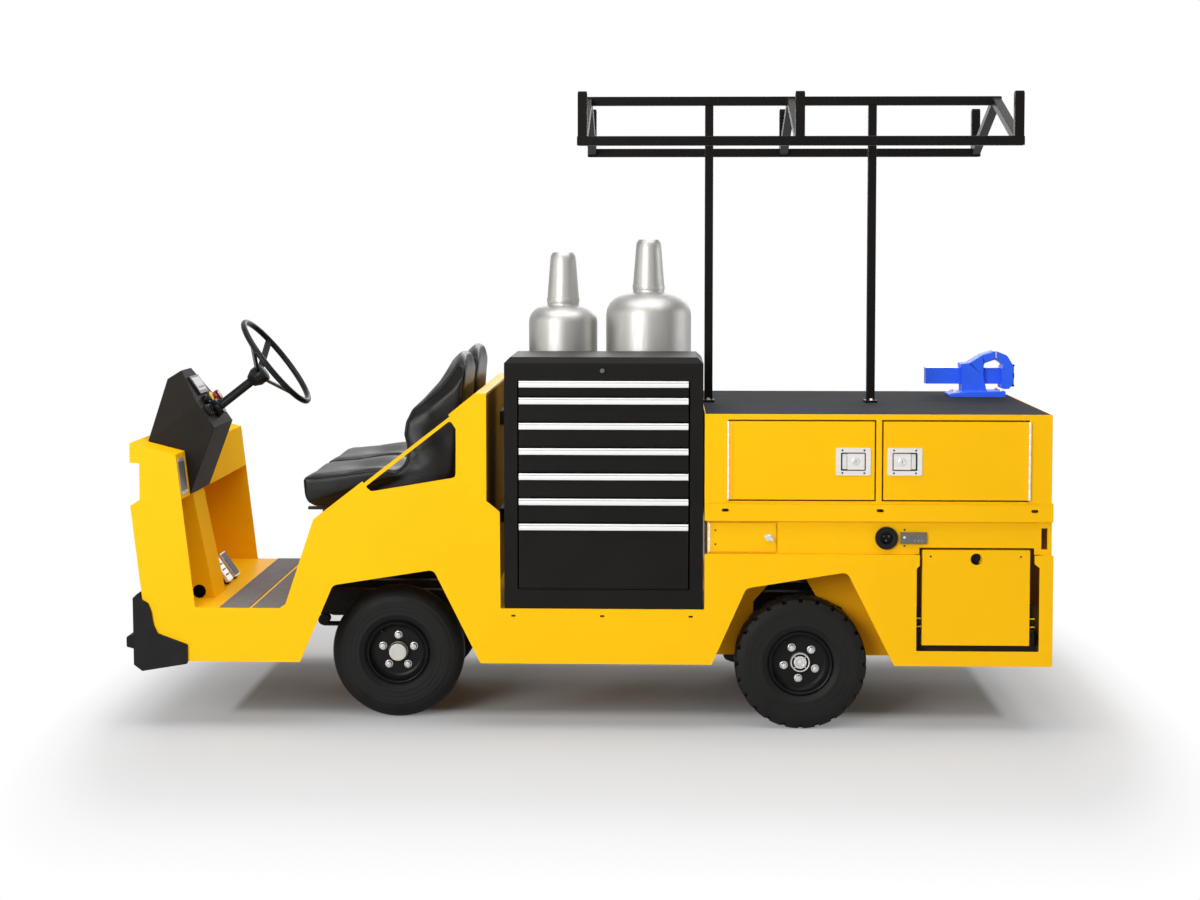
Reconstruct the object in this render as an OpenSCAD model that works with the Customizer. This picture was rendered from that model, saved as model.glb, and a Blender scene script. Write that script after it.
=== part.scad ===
// Electric burden carrier fitted out as a mobile workshop, an industrial utility vehicle.
// Millimetres. The front is -X, the driver's left side is -Y and up is +Z.
// The origin is on the ground, under the middle of the bounding box.

/* [Body] */
// Half of the width over the side panels
half_width = 550; // [540:1:556]
// Thickness of the body sheets
sheet = 4; // [3:0.5:5]
// Underside of the side panels above the ground
skirt_z = 233; // [225:1:239]
// Top of the driver's floor
floor_z = 418; // [414:1:422]
// Top of the seat deck
seat_deck_z = 725; // [715:1:735]
// Top of the wall behind the seats
wall_top_z = 1158; // [1140:1:1180]
// Corner radius of the wheel arches
arch_r = 24; // [12:1:30]
// Diameter of a headlamp
lamp_d = 96; // [80:1:110]

/* [Controls] */
// Width of the console at its foot
console_w = 310; // [290:1:320]
// Width of the console along its ridge
ridge_w = 150; // [120:1:180]
// Outside diameter of the steering wheel
steer_d = 372; // [340:1:390]
// Thickness of the steering wheel's rim
steer_tube = 21; // [18:1:26]
// Angle of the steering column above the horizontal
steer_tilt = 38; // [36:1:40]

/* [Seats] */
// Gap between the two seats
seat_gap = 50; // [30:1:70]
// Clearance between a seat and the side panel
seat_clear = 51; // [40:1:70]

/* [Tool chest] */
// Front edge of the chest along the vehicle
chest_x = -274; // [-278:1:-268]
// Length of the chest along the vehicle
chest_l = 677; // [660:1:677]
// Depth of the chest into the vehicle
chest_d = 420; // [400:1:430]
// Top of the chest
chest_top = 1281; // [1265:1:1295]
// Height of a drawer's pull
pull_h = 21; // [16:1:24]

/* [Gas bottles] */
// Distance of the bottles from the middle of the vehicle
bottle_y = 205; // [200:1:215]

/* [Rear cabinet] */
// Top of the work deck
deck_z = 1090; // [1080:1:1100]
// Height of a door
door_h = 266; // [258:1:268]
// Thickness of a door
door_t = 20; // [16:1:24]

/* [Overhead rack] */
// Width of the square tubes
tube = 32; // [28:1:36]
// Top of the ridge tube
rack_top = 2196; // [2150:1:2220]
// Distance of the outer tubes from the middle
rack_y = 490; // [470:1:505]

/* [Running gear] */
// Front axle along the vehicle
front_x = -664; // [-672:1:-656]
// Rear axle along the vehicle
rear_x = 740; // [732:1:748]
// Outside diameter of the front tyres
front_d = 464; // [456:1:468]
// Outside diameter of the rear tyres over the lugs
rear_d = 452; // [446:1:456]
// Width of a tyre
tyre_w = 116; // [110:1:122]
// Middle of a front tyre, across the vehicle
front_y = 322; // [318:1:328]
// Middle of a rear tyre, across the vehicle
rear_y = 440; // [434:1:444]
// Kingpin, across the vehicle
king_y = 247; // [244:1:250]
// Diameter of the circle of wheel bolts
bolt_circle = 114.3; // [108:0.1:120]

/* [Hidden] */
$fn = 48;

yellow = [0.99, 0.74, 0.06];
black = [0.06, 0.06, 0.065];
dark = [0.14, 0.14, 0.15];
steel = [0.75, 0.76, 0.78];
inner = half_width - sheet;
seat_w = inner - seat_clear - seat_gap / 2;
seat_y = (seat_gap + seat_w) / 2;
driver_y = -seat_y;
// Gap between the bars and sheets that are welded together
weld = 0.2;
nose_x = -1557;
lamp_x = -1524;
toe_x = -1519;
tail_x = 1587;
lid_rear = [-1399, 945];
sill_front = [-1337, floor_z];
step = [-1030, floor_z];
knee = [-928, seat_deck_z];
wall_x = -335;
wall_front = -374;
bay_z = 422;
bay_end = 408;
ledge_z = 613;
band_lo = 726;
band_hi = 789;
rail_lo = 332;
rail_hi = 412;
rail_in = 80;
rail_out = 130;
tray_z = 303;

// One fold of a sheet: the unit vector along it, and square to it.
function unit(v) = v / norm(v);
function left(v) = [-v[1], v[0]];
// A bent sheet's section from its outer line, t to the left of the way along it.
function miter(p, i, t) =
    let (n = len(p) - 1,
         a = left(unit(i == 0 ? p[1] - p[0] : p[i] - p[i - 1])),
         b = left(unit(i == n ? p[n] - p[n - 1] : p[i + 1] - p[i])))
    p[i] + t * (a + b) / (1 + a * b);
function bent(p, t) = concat(p, [for (i = [len(p) - 1:-1:0]) miter(p, i, t)]);
// A polygon with rounded corners, each point being [x, z, radius].
function xz(p) = [p[0], p[1]];
function corner(a, p, b, r) =
    let (u = unit(a - p), v = unit(b - p), h = acos(u * v) / 2, c = p + unit(u + v) * r / sin(h),
         s = p + u * r / tan(h) - c, e = p + v * r / tan(h) - c, a0 = atan2(s[1], s[0]),
         d = atan2(e[1], e[0]) - a0, w = d > 180 ? d - 360 : d < -180 ? d + 360 : d)
    [for (k = [0:4]) c + r * [cos(a0 + w * k / 4), sin(a0 + w * k / 4)]];
function soft(q) = [for (i = [0:len(q) - 1])
    let (p = q[i], a = q[(i + len(q) - 1) % len(q)], b = q[(i + 1) % len(q)])
    each (p[2] > 0 ? corner(xz(a), xz(p), xz(b), p[2]) : [xz(p)])];

module box(a, b) translate(a) cube(b - a);
// A section in X and Z carried from y0 to y1.
module across(y0, y1, p) translate([0, y1, 0]) rotate([90, 0, 0]) linear_extrude(y1 - y0) polygon(p);
module both() { children(); mirror([0, 1, 0]) children(); }
// A round bar along Y, X or Z.
module along_y(x, z, y0, y1, r) translate([x, y1, z]) rotate([90, 0, 0]) cylinder(h = y1 - y0, r = r);
module along_x(y, z, x0, x1, r) translate([x0, y, z]) rotate([0, 90, 0]) cylinder(h = x1 - x0, r = r);

// Chassis: two rails with cross bars, spring hangers and the battery carrier, each bar a solid of its own.
rail_x = [-1480, 1100];
cross_bars = [[-1480, -1440], [-1070, -1034], [-345, -305], [395, 435]];
bar_h = 60;
hanger_front = [front_x - 300, front_x + 300];
hanger_rear = [rear_x - 240, rear_x + 260];
hanger_y = [276, 324];
hanger_l = 36;
eye_front_z = 305;
eye_rear_z = [225, 270];
eye_r = 20;
tray_x = [1060, 1575];
tray_low = 243;
tray_bar = 40;
module chassis() color(dark) {
    for (o = cross_bars) box([o[0], -rail_in + weld, rail_hi - bar_h], [o[1], rail_in - weld, rail_hi]);
    for (x = hanger_rear)
        box([x - hanger_l / 2, -rail_in + weld, rail_hi - bar_h],
            [x + hanger_l / 2, rail_in - weld, rail_hi]);
    for (x = [tray_x[0], tray_x[1] - tray_bar]) box([x, -inner, tray_low], [x + tray_bar, inner, tray_z]);
    both() {
        box([rail_x[0], rail_in, rail_lo], [rail_x[1], rail_out, rail_hi]);
        for (o = cross_bars) box([o[0], rail_out + weld, rail_hi - bar_h], [o[1], inner, rail_hi]);
        for (x = hanger_front) box([x - hanger_l / 2, rail_in + 4, eye_front_z + eye_r - 3],
            [x + hanger_l / 2, rail_out - 4, rail_lo - weld]);
        for (i = [0, 1]) translate([hanger_rear[i] - hanger_l / 2, 0, 0]) {
            box([0, rail_out + weld, rail_hi - bar_h], [hanger_l, hanger_y[1], rail_hi]);
            box([0, hanger_y[0], eye_rear_z[i] + eye_r - 3], [hanger_l, hanger_y[1], rail_hi - bar_h - weld]);
        }
        for (y = [rail_in, inner - 76]) box([tray_x[0] + tray_bar + weld, y, tray_low],
            [tray_x[1] - tray_bar - weld, y + tray_bar, tray_z]);
        box([tray_x[0], rail_in, tray_z + weld], [tray_x[0] + tray_bar, rail_out, rail_lo - weld]);
    }
}

// Side panels, with the wheel arches, the window, the chest opening and the battery opening.
front_arch = [[front_x - 313, 0], [front_x - 198, 499], [front_x + 148, 554], [front_x + 308, 0]];
rear_arch = [[rear_x - 307, 0], [rear_x - 190, 496], [rear_x + 152, 553], [rear_x + 313, 0]];
// The bar over the window, set in between two small steps.
bar_line = [[-759, 856, 0], [-754, 850, 0], [-459, 1079, 0], [-464, 1085, 0]];
nose_top = 985;
module side_sheet() {
    p = [[nose_x, nose_top, 6], [lid_rear[0], lid_rear[1], 8], [sill_front[0], floor_z, 6],
        [step[0] - 17, floor_z, 0], [step[0] + 5, floor_z + 15, 0], [knee[0], seat_deck_z, 10],
        each bar_line, [wall_front, wall_top_z, 8], [wall_x, wall_top_z, 6],
        [wall_x, 791, 6], [-289, 754, 6], [-287, bay_z, 3], [bay_end, bay_z, 3], [bay_end, ledge_z, 4],
        [1137, ledge_z, 0], [1137, 577, 0], [1127, 567, 0], [1127, 284, 4], [1541, 284, 4], [1541, 570, 0],
        [1524, 584, 0], [1524, ledge_z, 0], [tail_x, ledge_z, 4], [tail_x, skirt_z, 4],
        [rear_arch[3][0], skirt_z, 5], [rear_arch[2][0], rear_arch[2][1], arch_r],
        [rear_arch[1][0], rear_arch[1][1], arch_r], [rear_arch[0][0], skirt_z, 5],
        [front_arch[3][0], skirt_z, 5], [front_arch[2][0], front_arch[2][1], arch_r],
        [front_arch[1][0], front_arch[1][1], arch_r], [front_arch[0][0], skirt_z, 5],
        [-1363, skirt_z, 4], [toe_x, 290, 0], [toe_x, 446, 0], [nose_x, 769, 0], [lamp_x, 790, 0],
        [lamp_x, 915, 0], [nose_x, 917, 0]];
    window = [[-748, 838, 6], [-728, 822, 12], [-439, 871, 15], [-438, 1036, 12], [-457, 1066, 10]];
    difference() {
        across(-half_width, -inner, soft(p));
        across(-half_width - 1, -inner + 1, soft(window));
        for (x = [-243, 60, 362]) box([x - 7, -half_width - 1, 394], [x + 7, -inner + 1, 401]);
    }
}
module side_left() color(yellow) side_sheet();
module side_right() color(yellow) mirror([0, 1, 0]) side_sheet();

// Front: one bent sheet is dash, lid, lamp recess and nose.
front_line = [[-1440, 791], [-1381, 791], lid_rear, [nose_x, nose_top], [nose_x, 917], [lamp_x, 915],
    [lamp_x, 790], [nose_x, 769], [toe_x, 446], [toe_x, 250]];
module front_shell() color(yellow) across(-inner, inner, bent(front_line, sheet));
// Headlamps in the recess and tail lamps on the end wall, each place in Y and Z.
headlamp_at = [330, 852];
tail_lamp_at = [430, 668];
tail_lamp_r = 38;
module lamps() color([0.9, 0.9, 0.92]) both() {
    along_x(headlamp_at[0], headlamp_at[1], lamp_x - 30, lamp_x, lamp_d / 2);
    along_x(tail_lamp_at[0], tail_lamp_at[1], tail_x - 4, tail_x + 4, tail_lamp_r);
}
// Bumper: a moulded block round the nose's foot, with a buffer strip in front.
module bumper() color(black) {
    side = [[-1550, 452, 4], [-1532, 470, 4], [-1519, 446, 0], [-1498, 434, 6], [-1487, 405, 6],
        [-1480, 360, 8], [-1466, 330, 8], [-1363, 292, 4], [-1363, 226, 6], [-1519, 200, 6], [-1548, 222, 5]];
    front = [[-1550, 452, 4], [-1532, 470, 4], [toe_x, 446, 0], [toe_x, 200, 6], [-1548, 222, 5]];
    strip = [[-1545, 322, 0], [-1591, 305, 6], [-1591, 270, 6], [-1545, 258, 0]];
    union() {
        across(-half_width + 1, half_width - 1, soft(front));
        across(-half_width + 60, half_width - 60, soft(strip));
        both() across(-half_width - 10, -half_width, soft(side));
        both() across(-half_width - 1, -half_width + 1, soft(front));
    }
}

// Floor: pan, two anti-slip mats, the steering column's post and the pedals.
module floor_pan() color(yellow) union() {
    box([toe_x + sheet, -inner, rail_hi], [step[0], inner, floor_z]);
    both() box([cross_bars[0][1], inner - 12, rail_hi - 30], [cross_bars[1][0], inner, floor_z]);
}
module floor_mats() color([0.32, 0.34, 0.33])
    for (x = [-1254, -1141]) box([x, -inner + 4, floor_z], [x + 102, inner - 4, floor_z + 3]);
module column_post() color(yellow) difference() {
    across(driver_y - 94, driver_y + 78,
        [[-1310, floor_z], [-1386, 791], [-1440, 791], [-1425, floor_z]]);
    along_y(-1366, floor_z + 24, driver_y - 95, driver_y - 40, 22);
}
pedal_x = -1330;
pedal_y = [-90, 30];
pedal_w = 82;
module pedals() color(dark) {
    plate = [[6, 8], [12, 14], [-46, 96], [-52, 91]];
    leg = [[-60, 0], [4, 0], [10, 12], [-12, 42]];
    for (y = pedal_y) translate([pedal_x, y, floor_z]) union() {
        across(0, pedal_w, plate);
        across(pedal_w / 2 - 10, pedal_w / 2 + 10, leg);
    }
}

// Console: a wedge with slanting cheeks, standing on the lid and against the dash.
lid_slope = (nose_top - lid_rear[1]) / (nose_x - lid_rear[0]);
console_front = -1527;
console_toe = lid_rear[1] + (console_front - lid_rear[0]) * lid_slope;
face_top = [-1426, 1221];
face_foot = [-1294, 1026];
crease = [-1352, 1110];
module console() color(black) {
    lo = driver_y - console_w / 2;
    hi = driver_y + console_w / 2;
    union() {
        across(lo, hi, [[console_front, console_toe], crease, face_foot, [-1381, 791], lid_rear]);
        hull() {
            across(lo, hi, [[console_front, console_toe], crease, [-1400, 1000]]);
            across(driver_y - ridge_w / 2, driver_y + ridge_w / 2,
                [[-1476, 1190], face_top, [-1450, 1150]]);
        }
    }
}
// Places its children on the console's slanting face, X across and Y up the face.
face_up = unit(face_top - face_foot);
module on_face() translate([face_foot[0], driver_y, face_foot[1]])
    multmatrix([[0, face_up[0], face_up[1], 0], [-1, 0, 0, 0], [0, face_up[1], -face_up[0], 0]]) children();
// Display with its key ring below, two rocker switches and the stop button.
display = [132, 72, 8];
display_at = [-66, 130, 0];
key_at = [44, 104, 0];
rocker = [22, 34, 10];
rockers_at = [[60, 48, 0], [92, 48, 0]];
stop_at = [-86, 100, 0];
module controls() color(dark) on_face() {
    translate(display_at) cube(display);
    translate(key_at) cylinder(h = 14, r = 14);
    for (p = rockers_at) translate(p) cube(rocker);
    translate(stop_at) {
        cylinder(h = 16, r = 11);
        translate([0, 0, 14]) cylinder(h = 16, r = 20);
    }
}
// Steering: a fixed column, and the wheel with its hub and three dished spokes.
steer_dir = [cos(steer_tilt), 0, sin(steer_tilt)];
steer_hub = [-1163, driver_y, 1202];
wheel_hub_r = 34;
hub_low = 40;
column_foot = 240;
column_r = 16;
module on_column(d) translate(steer_hub + d * steer_dir) rotate([0, 90 - steer_tilt, 0]) children();
module steering_column() color(black) difference() {
    union() {
        on_column(-column_foot) cylinder(h = column_foot - hub_low - 0.3, r = column_r);
        on_column(-column_foot) cylinder(h = 62, r = 30);
    }
    across(driver_y - 60, driver_y + 60, [face_foot - 100 * face_up, face_top, face_top - [90, 60],
        face_foot - [120, 90]]);
}
module steering_wheel() color(black) {
    rise = 74;
    ring_r = (steer_d - steer_tube) / 2;
    union() {
        on_column(0) rotate_extrude() polygon([[0, -hub_low], [column_r + 6, -hub_low],
            [wheel_hub_r, -hub_low + 24], [wheel_hub_r, 18], [0, 18]]);
        on_column(rise) rotate_extrude() translate([ring_r, 0]) circle(steer_tube / 2);
        for (a = [0, 120, 240]) on_column(0) rotate([0, 0, a]) translate([0, -11, 0])
            rotate([90, 0, 0]) mirror([0, 0, 1]) linear_extrude(22)
            polygon([[20, -4], [20, 6], [ring_r - 4, rise + 4], [ring_r + 3, rise - 4]]);
    }
}

// Seat box: riser and deck in one bent sheet, then the wall behind the seats.
module seat_box() color(yellow) across(-inner, inner,
    bent([[wall_front + sheet, seat_deck_z], knee, step], sheet));
module cab_wall() color(yellow) across(-inner, inner,
    bent([[wall_x, bay_z], [wall_x, wall_top_z], [wall_front, wall_top_z],
        [wall_front, seat_deck_z]], sheet));
// Seats on slides. Cushion and backrest meet on one upright plane.
slide_h = 32;
slide_x = [-918, -480];
slide_w = 20;
lever_x = -969;
seat_foot = seat_deck_z + slide_h;
seat_split = -606;
back_in = 10;
module seat_slides() color(dark) for (s = [-1, 1], y = [-seat_w * 0.3, seat_w * 0.3])
    translate([0, s * seat_y + y - slide_w / 2, 0]) union() {
        box([slide_x[0], 0, seat_deck_z], [slide_x[1], slide_w, seat_foot]);
        box([lever_x, 0, seat_foot - 16], [slide_x[0] + 1, slide_w, seat_foot - 6]);
    }
cushion = [[-974, 800, 24], [-976, 864, 14], [-914, 872, 20], [-789, 887, 40], [-699, 895, 30],
    [-642, 886, 20], [seat_split, 900, 0], [seat_split, seat_foot, 0], [-930, seat_foot, 30]];
backrest = [[seat_split, 900, 0], [-600, 951, 10], [-625, 1007, 30], [-597, 1092, 40], [-563, 1132, 0],
    [-513, 1193, 30], [-467, 1266, 24], [-436, 1305, 18], [-412, 1262, 18], [-420, 1123, 20],
    [-440, 900, 20], [-500, seat_foot, 0], [seat_split, seat_foot, 0]];
module seat_cushions() color(black) both()
    across(-seat_y - seat_w / 2, -seat_y + seat_w / 2, soft(cushion));
module seat_backs() color(black) both()
    across(-seat_y - seat_w / 2 + back_in, -seat_y + seat_w / 2 - back_in, soft(backrest));

// Tool chest: an open carcass and seven drawers.
// Each row is a drawer: bottom, height.
FOOT = 0;
TALL = 1;
chest_y = -half_width + 5;
drawers = [[1146, 57], [1060, 86], [974, 86], [888, 86], [802, 86], [716, 86], [488, 228]];
drawer_x = [chest_x + 45, chest_x + chest_l - 45];
gap = 5;
lid_h = 20;
lock_at = [60, 1236];
module tool_chest() color(black) {
    x1 = chest_x + chest_l;
    back = chest_y + chest_d;
    difference() {
        union() {
            box([chest_x, chest_y, bay_z], [x1, back, chest_top - lid_h]);
            hull() {
                box([chest_x, chest_y, chest_top - lid_h - 2], [x1, back, chest_top - lid_h]);
                box([chest_x + lid_h, chest_y + lid_h, chest_top - 1], [x1 - lid_h, back - lid_h, chest_top]);
            }
        }
        box([drawer_x[0], chest_y - 1, 488], [drawer_x[1], back - 6, 1203]);
        along_y(lock_at[0], lock_at[1], chest_y - 1, chest_y + 4, 9);
    }
}
module drawer(n) color(black) {
    lo = drawers[n][FOOT] + gap / 2;
    hi = drawers[n][FOOT] + drawers[n][TALL] - gap / 2;
    a = drawer_x[0] + gap;
    b = drawer_x[1] - gap;
    front = chest_y - 2;
    union() {
        box([a, front, lo], [b, front + 16, hi]);
        box([a, front - 9, hi - pull_h], [b, front, hi]);
        difference() {
            box([a + 8, front + 10, lo + 4], [b - 8, chest_y + chest_d - 20, hi - 8]);
            box([a + 12, front + 16, lo + 8], [b - 12, chest_y + chest_d - 24, hi]);
        }
        box([drawer_x[0] + 0.3, front + 30, lo + 12], [a + 9, chest_y + chest_d - 40, lo + 24]);
        box([b - 9, front + 30, lo + 12], [drawer_x[1] - 0.3, chest_y + chest_d - 40, lo + 24]);
    }
}
module drawer_1() drawer(0);
module drawer_2() drawer(1);
module drawer_3() drawer(2);
module drawer_4() drawer(3);
module drawer_5() drawer(4);
module drawer_6() drawer(5);
module drawer_7() drawer(6);
module bay_floor() color(yellow)
    box([wall_front, -inner, rail_hi], [bay_end + 9, inner, bay_z]);

// Gas bottles. Each row is a bottle: place, radius, shoulder, neck, cap's radius, cap's top.
BX = 0;
BR = 1;
BSHOULDER = 2;
BNECK = 3;
BCAP = 4;
BTOP = 5;
bottles = [[-109, 128, 1374, 1434, 59, 1632], [211, 159, 1399, 1484, 58, 1680]];
module gas_bottles() color(steel) for (b = bottles) translate([b[BX], bottle_y, 0]) rotate_extrude() {
    rise = b[BNECK] - b[BSHOULDER];
    polygon(concat([[0, bay_z], [b[BR] - 8, bay_z], [b[BR], bay_z + 8]],
        [for (k = [0:6]) [b[BCAP] + (b[BR] - b[BCAP]) * cos(15 * k), b[BSHOULDER] + rise * sin(15 * k)]],
        [[b[BCAP], b[BNECK] + 30], [b[BCAP] - 12, b[BTOP] - 14], [b[BCAP] - 20, b[BTOP]], [0, b[BTOP]]]));
}
// Bottle rack: rails before and behind the bottles, with a divider, between the wall and the cabinet.
module bottle_rack() color(dark) union() {
    for (z = [640, 1000]) {
        box([wall_x, bottle_y - 173, z], [bay_end, bottle_y - 165, z + 50]);
        box([wall_x, bottle_y + 165, z], [bay_end, bottle_y + 173, z + 50]);
        box([31, bottle_y - 170, z], [40, bottle_y + 170, z + 50]);
        box([wall_x, bottle_y - 170, z], [wall_x + 8, bottle_y + 170, z + 50]);
    }
}

// Deck frame: the band round the deck, the recessed wall below it, and the end walls.
recess = half_width - 14;
hatch = [430, 651, 620, 718];
band_x = [bay_end, tail_x - 2];
wall_ends = [bay_end + 9, tail_x - 4];
band_slots = [478, 1002, 1522];
socket_at = [1025, 669];
// The recessed wall of one side, with the battery's notch and the slot of the rear end piece.
module recess_wall() difference() {
    box([wall_ends[0], -recess, ledge_z + weld], [wall_ends[1], -recess + sheet, band_lo - weld]);
    box([1137, -recess - 1, ledge_z], [1524, -recess + sheet + 1, 636]);
    box([1548, -recess - 1, 632], [1568, -recess + sheet + 1, 704]);
}
module deck_frame() color(yellow) {
    under = band_hi - sheet - weld;
    low = ledge_z - sheet;
    box([band_x[0], -half_width, band_hi - sheet], [band_x[1], half_width, band_hi]);
    for (x = [band_x[0], band_x[1] - sheet])
        box([x, -inner + weld, band_lo], [x + sheet, inner - weld, under]);
    for (i = [0, 1]) translate([i == 0 ? wall_ends[0] : wall_ends[1] - sheet, 0, 0]) {
        box([0, -inner, i == 0 ? bay_z : skirt_z + 10], [sheet, inner, low - weld]);
        box([0, -recess + sheet + weld, low], [sheet, recess - sheet - weld, band_lo - weld]);
    }
    both() {
        difference() {
            box([band_x[0], inner, band_lo], [band_x[1], half_width, under]);
            for (x = band_slots) box([x - 13, inner - 1, 757], [x + 13, half_width + 1, 770]);
        }
        box([wall_ends[0], recess - sheet, band_lo],
            [band_x[1] - sheet - weld, inner - weld, band_lo + sheet]);
        box([wall_ends[0] + sheet + weld, recess - 20, low], [1120, inner, ledge_z]);
        box([1545, recess - 20, low], [wall_ends[1] - sheet - weld, inner, ledge_z]);
    }
    mirror([0, 1, 0]) recess_wall();
    difference() {
        recess_wall();
        box([hatch[0] - gap, -recess - 1, hatch[2] - gap],
            [hatch[1] + gap, -recess + sheet + 1, hatch[3] + gap]);
        along_y(socket_at[0], socket_at[1], -recess - 1, -recess + sheet + 1, 30);
    }
}
module service_door() color(yellow) union() {
    box([hatch[0], -recess - 2, hatch[2]], [hatch[1], -recess + 2, hatch[3]]);
    along_y(hatch[1] - 24, 669, -recess - 12, -recess - 2, 9);
    translate([hatch[0] - 6, -recess - 3.3, hatch[2]]) cylinder(h = hatch[3] - hatch[2], r = 3);
    box([hatch[0] - 6, -recess - 3.3, hatch[2]], [hatch[0] + 6, -recess - 1.5, hatch[3]]);
}
module service_fittings() color(black) {
    difference() {
        union() {
            along_y(socket_at[0], socket_at[1], -recess - 10, -recess, 38);
            along_y(socket_at[0], socket_at[1], -recess - 1, -recess + 30, 29);
        }
        along_y(socket_at[0], socket_at[1], -recess - 11, -recess + 20, 22);
    }
    box([1072, -recess - 7, 650], [1160, -recess, 689]);
}
battery_x = [1147, 1510];
battery_top = 629;
grip_r = 19;
module battery() color(yellow) difference() {
    box([battery_x[0], -half_width + 10, tray_z], [battery_x[1], half_width - 10, battery_top]);
    both() along_y((battery_x[0] + battery_x[1]) / 2, battery_top - 31, half_width - 40, half_width, grip_r);
}

// Rear cabinet: carcass with four door openings, doors and the dark deck.
door_lo = 800;
doors = [[494, 982], [1012, 1498]];
face = half_width - 4;
module cabinet() color(yellow) {
    top = deck_z - 3;
    difference() {
        box([bay_end, -face, band_hi], [tail_x - 7, face, deck_z]);
        box([bay_end + sheet, -face + sheet, band_hi - 1], [tail_x - 7 - sheet, face - sheet, deck_z - 7]);
        box([bay_end + sheet, -face + sheet, top], [tail_x - 7 - sheet, face - sheet, deck_z + 1]);
        both() for (d = doors)
            box([d[0] - gap, face - sheet - 1, door_lo - gap],
                [d[1] + gap, face + 1, door_lo + door_h + gap]);
    }
    box([bay_end + sheet, -2, band_hi], [tail_x - 7 - sheet, 2, deck_z - 7]);
}
module deck_mat() color([0.23, 0.24, 0.26])
    box([bay_end + sheet, -face + sheet, deck_z - 3], [tail_x - 7 - sheet, face - sheet, deck_z]);
// Latch: height, distance from the door's edge, and half sizes of its plate and of the well in it.
latch_z = 930;
latch_in = 72;
latch_plate = [58, 46];
latch_well = [42, 31];
// A door of the near side; s is the end with the latch, 0 at the front and 1 at the rear.
module door(d, s) color(yellow) {
    x = s == 1 ? d[1] - latch_in : d[0] + latch_in;
    difference() {
        union() {
            difference() {
                box([d[0], -face - 2, door_lo], [d[1], -face - 2 + door_t, door_lo + door_h]);
                box([d[0] + 3, -face + 1, door_lo + 3], [d[1] - 3, -face + door_t, door_lo + door_h - 3]);
            }
            box([x - latch_plate[0], -face - 4, latch_z - latch_plate[1]],
                [x + latch_plate[0], -face + 8, latch_z + latch_plate[1]]);
        }
        box([x - latch_well[0], -face - 5, latch_z - latch_well[1]],
            [x + latch_well[0], -face + 5, latch_z + latch_well[1]]);
    }
    box([s == 1 ? x - 20 : x - 41, -face - 2, latch_z - 30],
        [s == 1 ? x + 41 : x + 20, -face + 6, latch_z + 30]);
    e = s == 1 ? d[0] : d[1];
    w = s == 1 ? 1 : -1;
    translate([e - 6 * w, -face - 4.3, door_lo]) cylinder(h = door_h, r = 4);
    box([min(e - 6 * w, e + 8 * w), -face - 4.3, door_lo],
        [max(e - 6 * w, e + 8 * w), -face - 1.5, door_lo + door_h]);
}
module door_left_front() door(doors[0], 1);
module door_left_rear() door(doors[1], 0);
module door_right_front() mirror([0, 1, 0]) door(doors[0], 1);
module door_right_rear() mirror([0, 1, 0]) door(doors[1], 0);

// Overhead rack on two posts.
post_x = [431, 1020];
rack_x = [-25, 1480];
outer_lo = 1998;
module rack_posts() color(black) for (x = post_x) union() {
    box([x - 15, -15, deck_z], [x + 15, 15, rack_top - tube]);
    box([x - 22, -40, deck_z], [x + 22, 40, deck_z + 8]);
}
module rack_frame() color(black) {
    arms = [rack_x[0] + tube / 2, (rack_x[0] + rack_x[1]) / 2, rack_x[1] - tube / 2];
    union() {
        box([rack_x[0], -tube / 2, rack_top - tube], [rack_x[1], tube / 2, rack_top]);
        both() {
            box([rack_x[0], -rack_y - tube / 2, outer_lo], [rack_x[1], -rack_y + tube / 2, outer_lo + tube]);
            for (x = arms) {
                box([x - tube / 2, -rack_y - tube / 2, outer_lo],
                    [x + tube / 2, -rack_y + tube / 2, rack_top - 18]);
                translate([x - tube / 2, 0, 0]) rotate([90, 0, 90]) linear_extrude(tube)
                    polygon([[0, rack_top - tube], [0, rack_top], [-rack_y, outer_lo + tube],
                        [-rack_y, outer_lo]]);
            }
        }
    }
}

// Bench vise: a fixed body with its jaw, and the sliding beam with the moving jaw and handle.
vise_y = 300;
vise_x = -16;
module vise_body() color([0.16, 0.3, 0.86]) translate([vise_x, vise_y, deck_z]) difference() {
    union() {
        across(-62, 62, [[1354, 0], [1354, 12], [1430, 22], [1566, 22], [1566, 0]]);
        across(-48, 48, soft([[1406, 10, 0], [1400, 124, 0], [1432, 128, 20], [1480, 158, 20], [1527, 172, 0],
            [1527, 140, 0], [1486, 126, 10], [1484, 80, 0], [1500, 10, 0]]));
    }
    box([1390, -27.3, 47.7], [1510, 27.3, 108.3]);
}
module vise_slide() color([0.16, 0.3, 0.86]) translate([vise_x, vise_y, deck_z]) union() {
    box([1271, -27, 48], [1552, 27, 108]);
    across(-48, 48, soft([[1552, 30, 8], [1552, 106, 0], [1560, 120, 0], [1533, 140, 0], [1533, 172, 0],
        [1572, 156, 20], [1594, 120, 20], [1594, 48, 14], [1580, 30, 8]]));
    along_x(0, 78, 1590, 1605, 13);
    translate([1600, 0, 38]) cylinder(h = 80, r = 5);
}

// Rear wheelhouses: a bent sheet over each tyre and an inner wall with an opening for the axle.
house_y = 372;
module wheelhouses() color(yellow) both() {
    line = [for (p = rear_arch) [p[0], max(p[1], skirt_z)]];
    union() {
        across(-inner, -house_y + 3, bent([for (i = [0:3]) line[i]], sheet));
        difference() {
            across(-house_y, -house_y + 3, line);
            across(-house_y - 1, -house_y + 4, [[rear_x - 158, 200], [rear_x - 158, 420], [rear_x - 80, 510],
                [rear_x + 18, 512], [rear_x + 60, 440], [rear_x + 150, 400], [rear_x + 165, 200]]);
        }
    }
}

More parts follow.
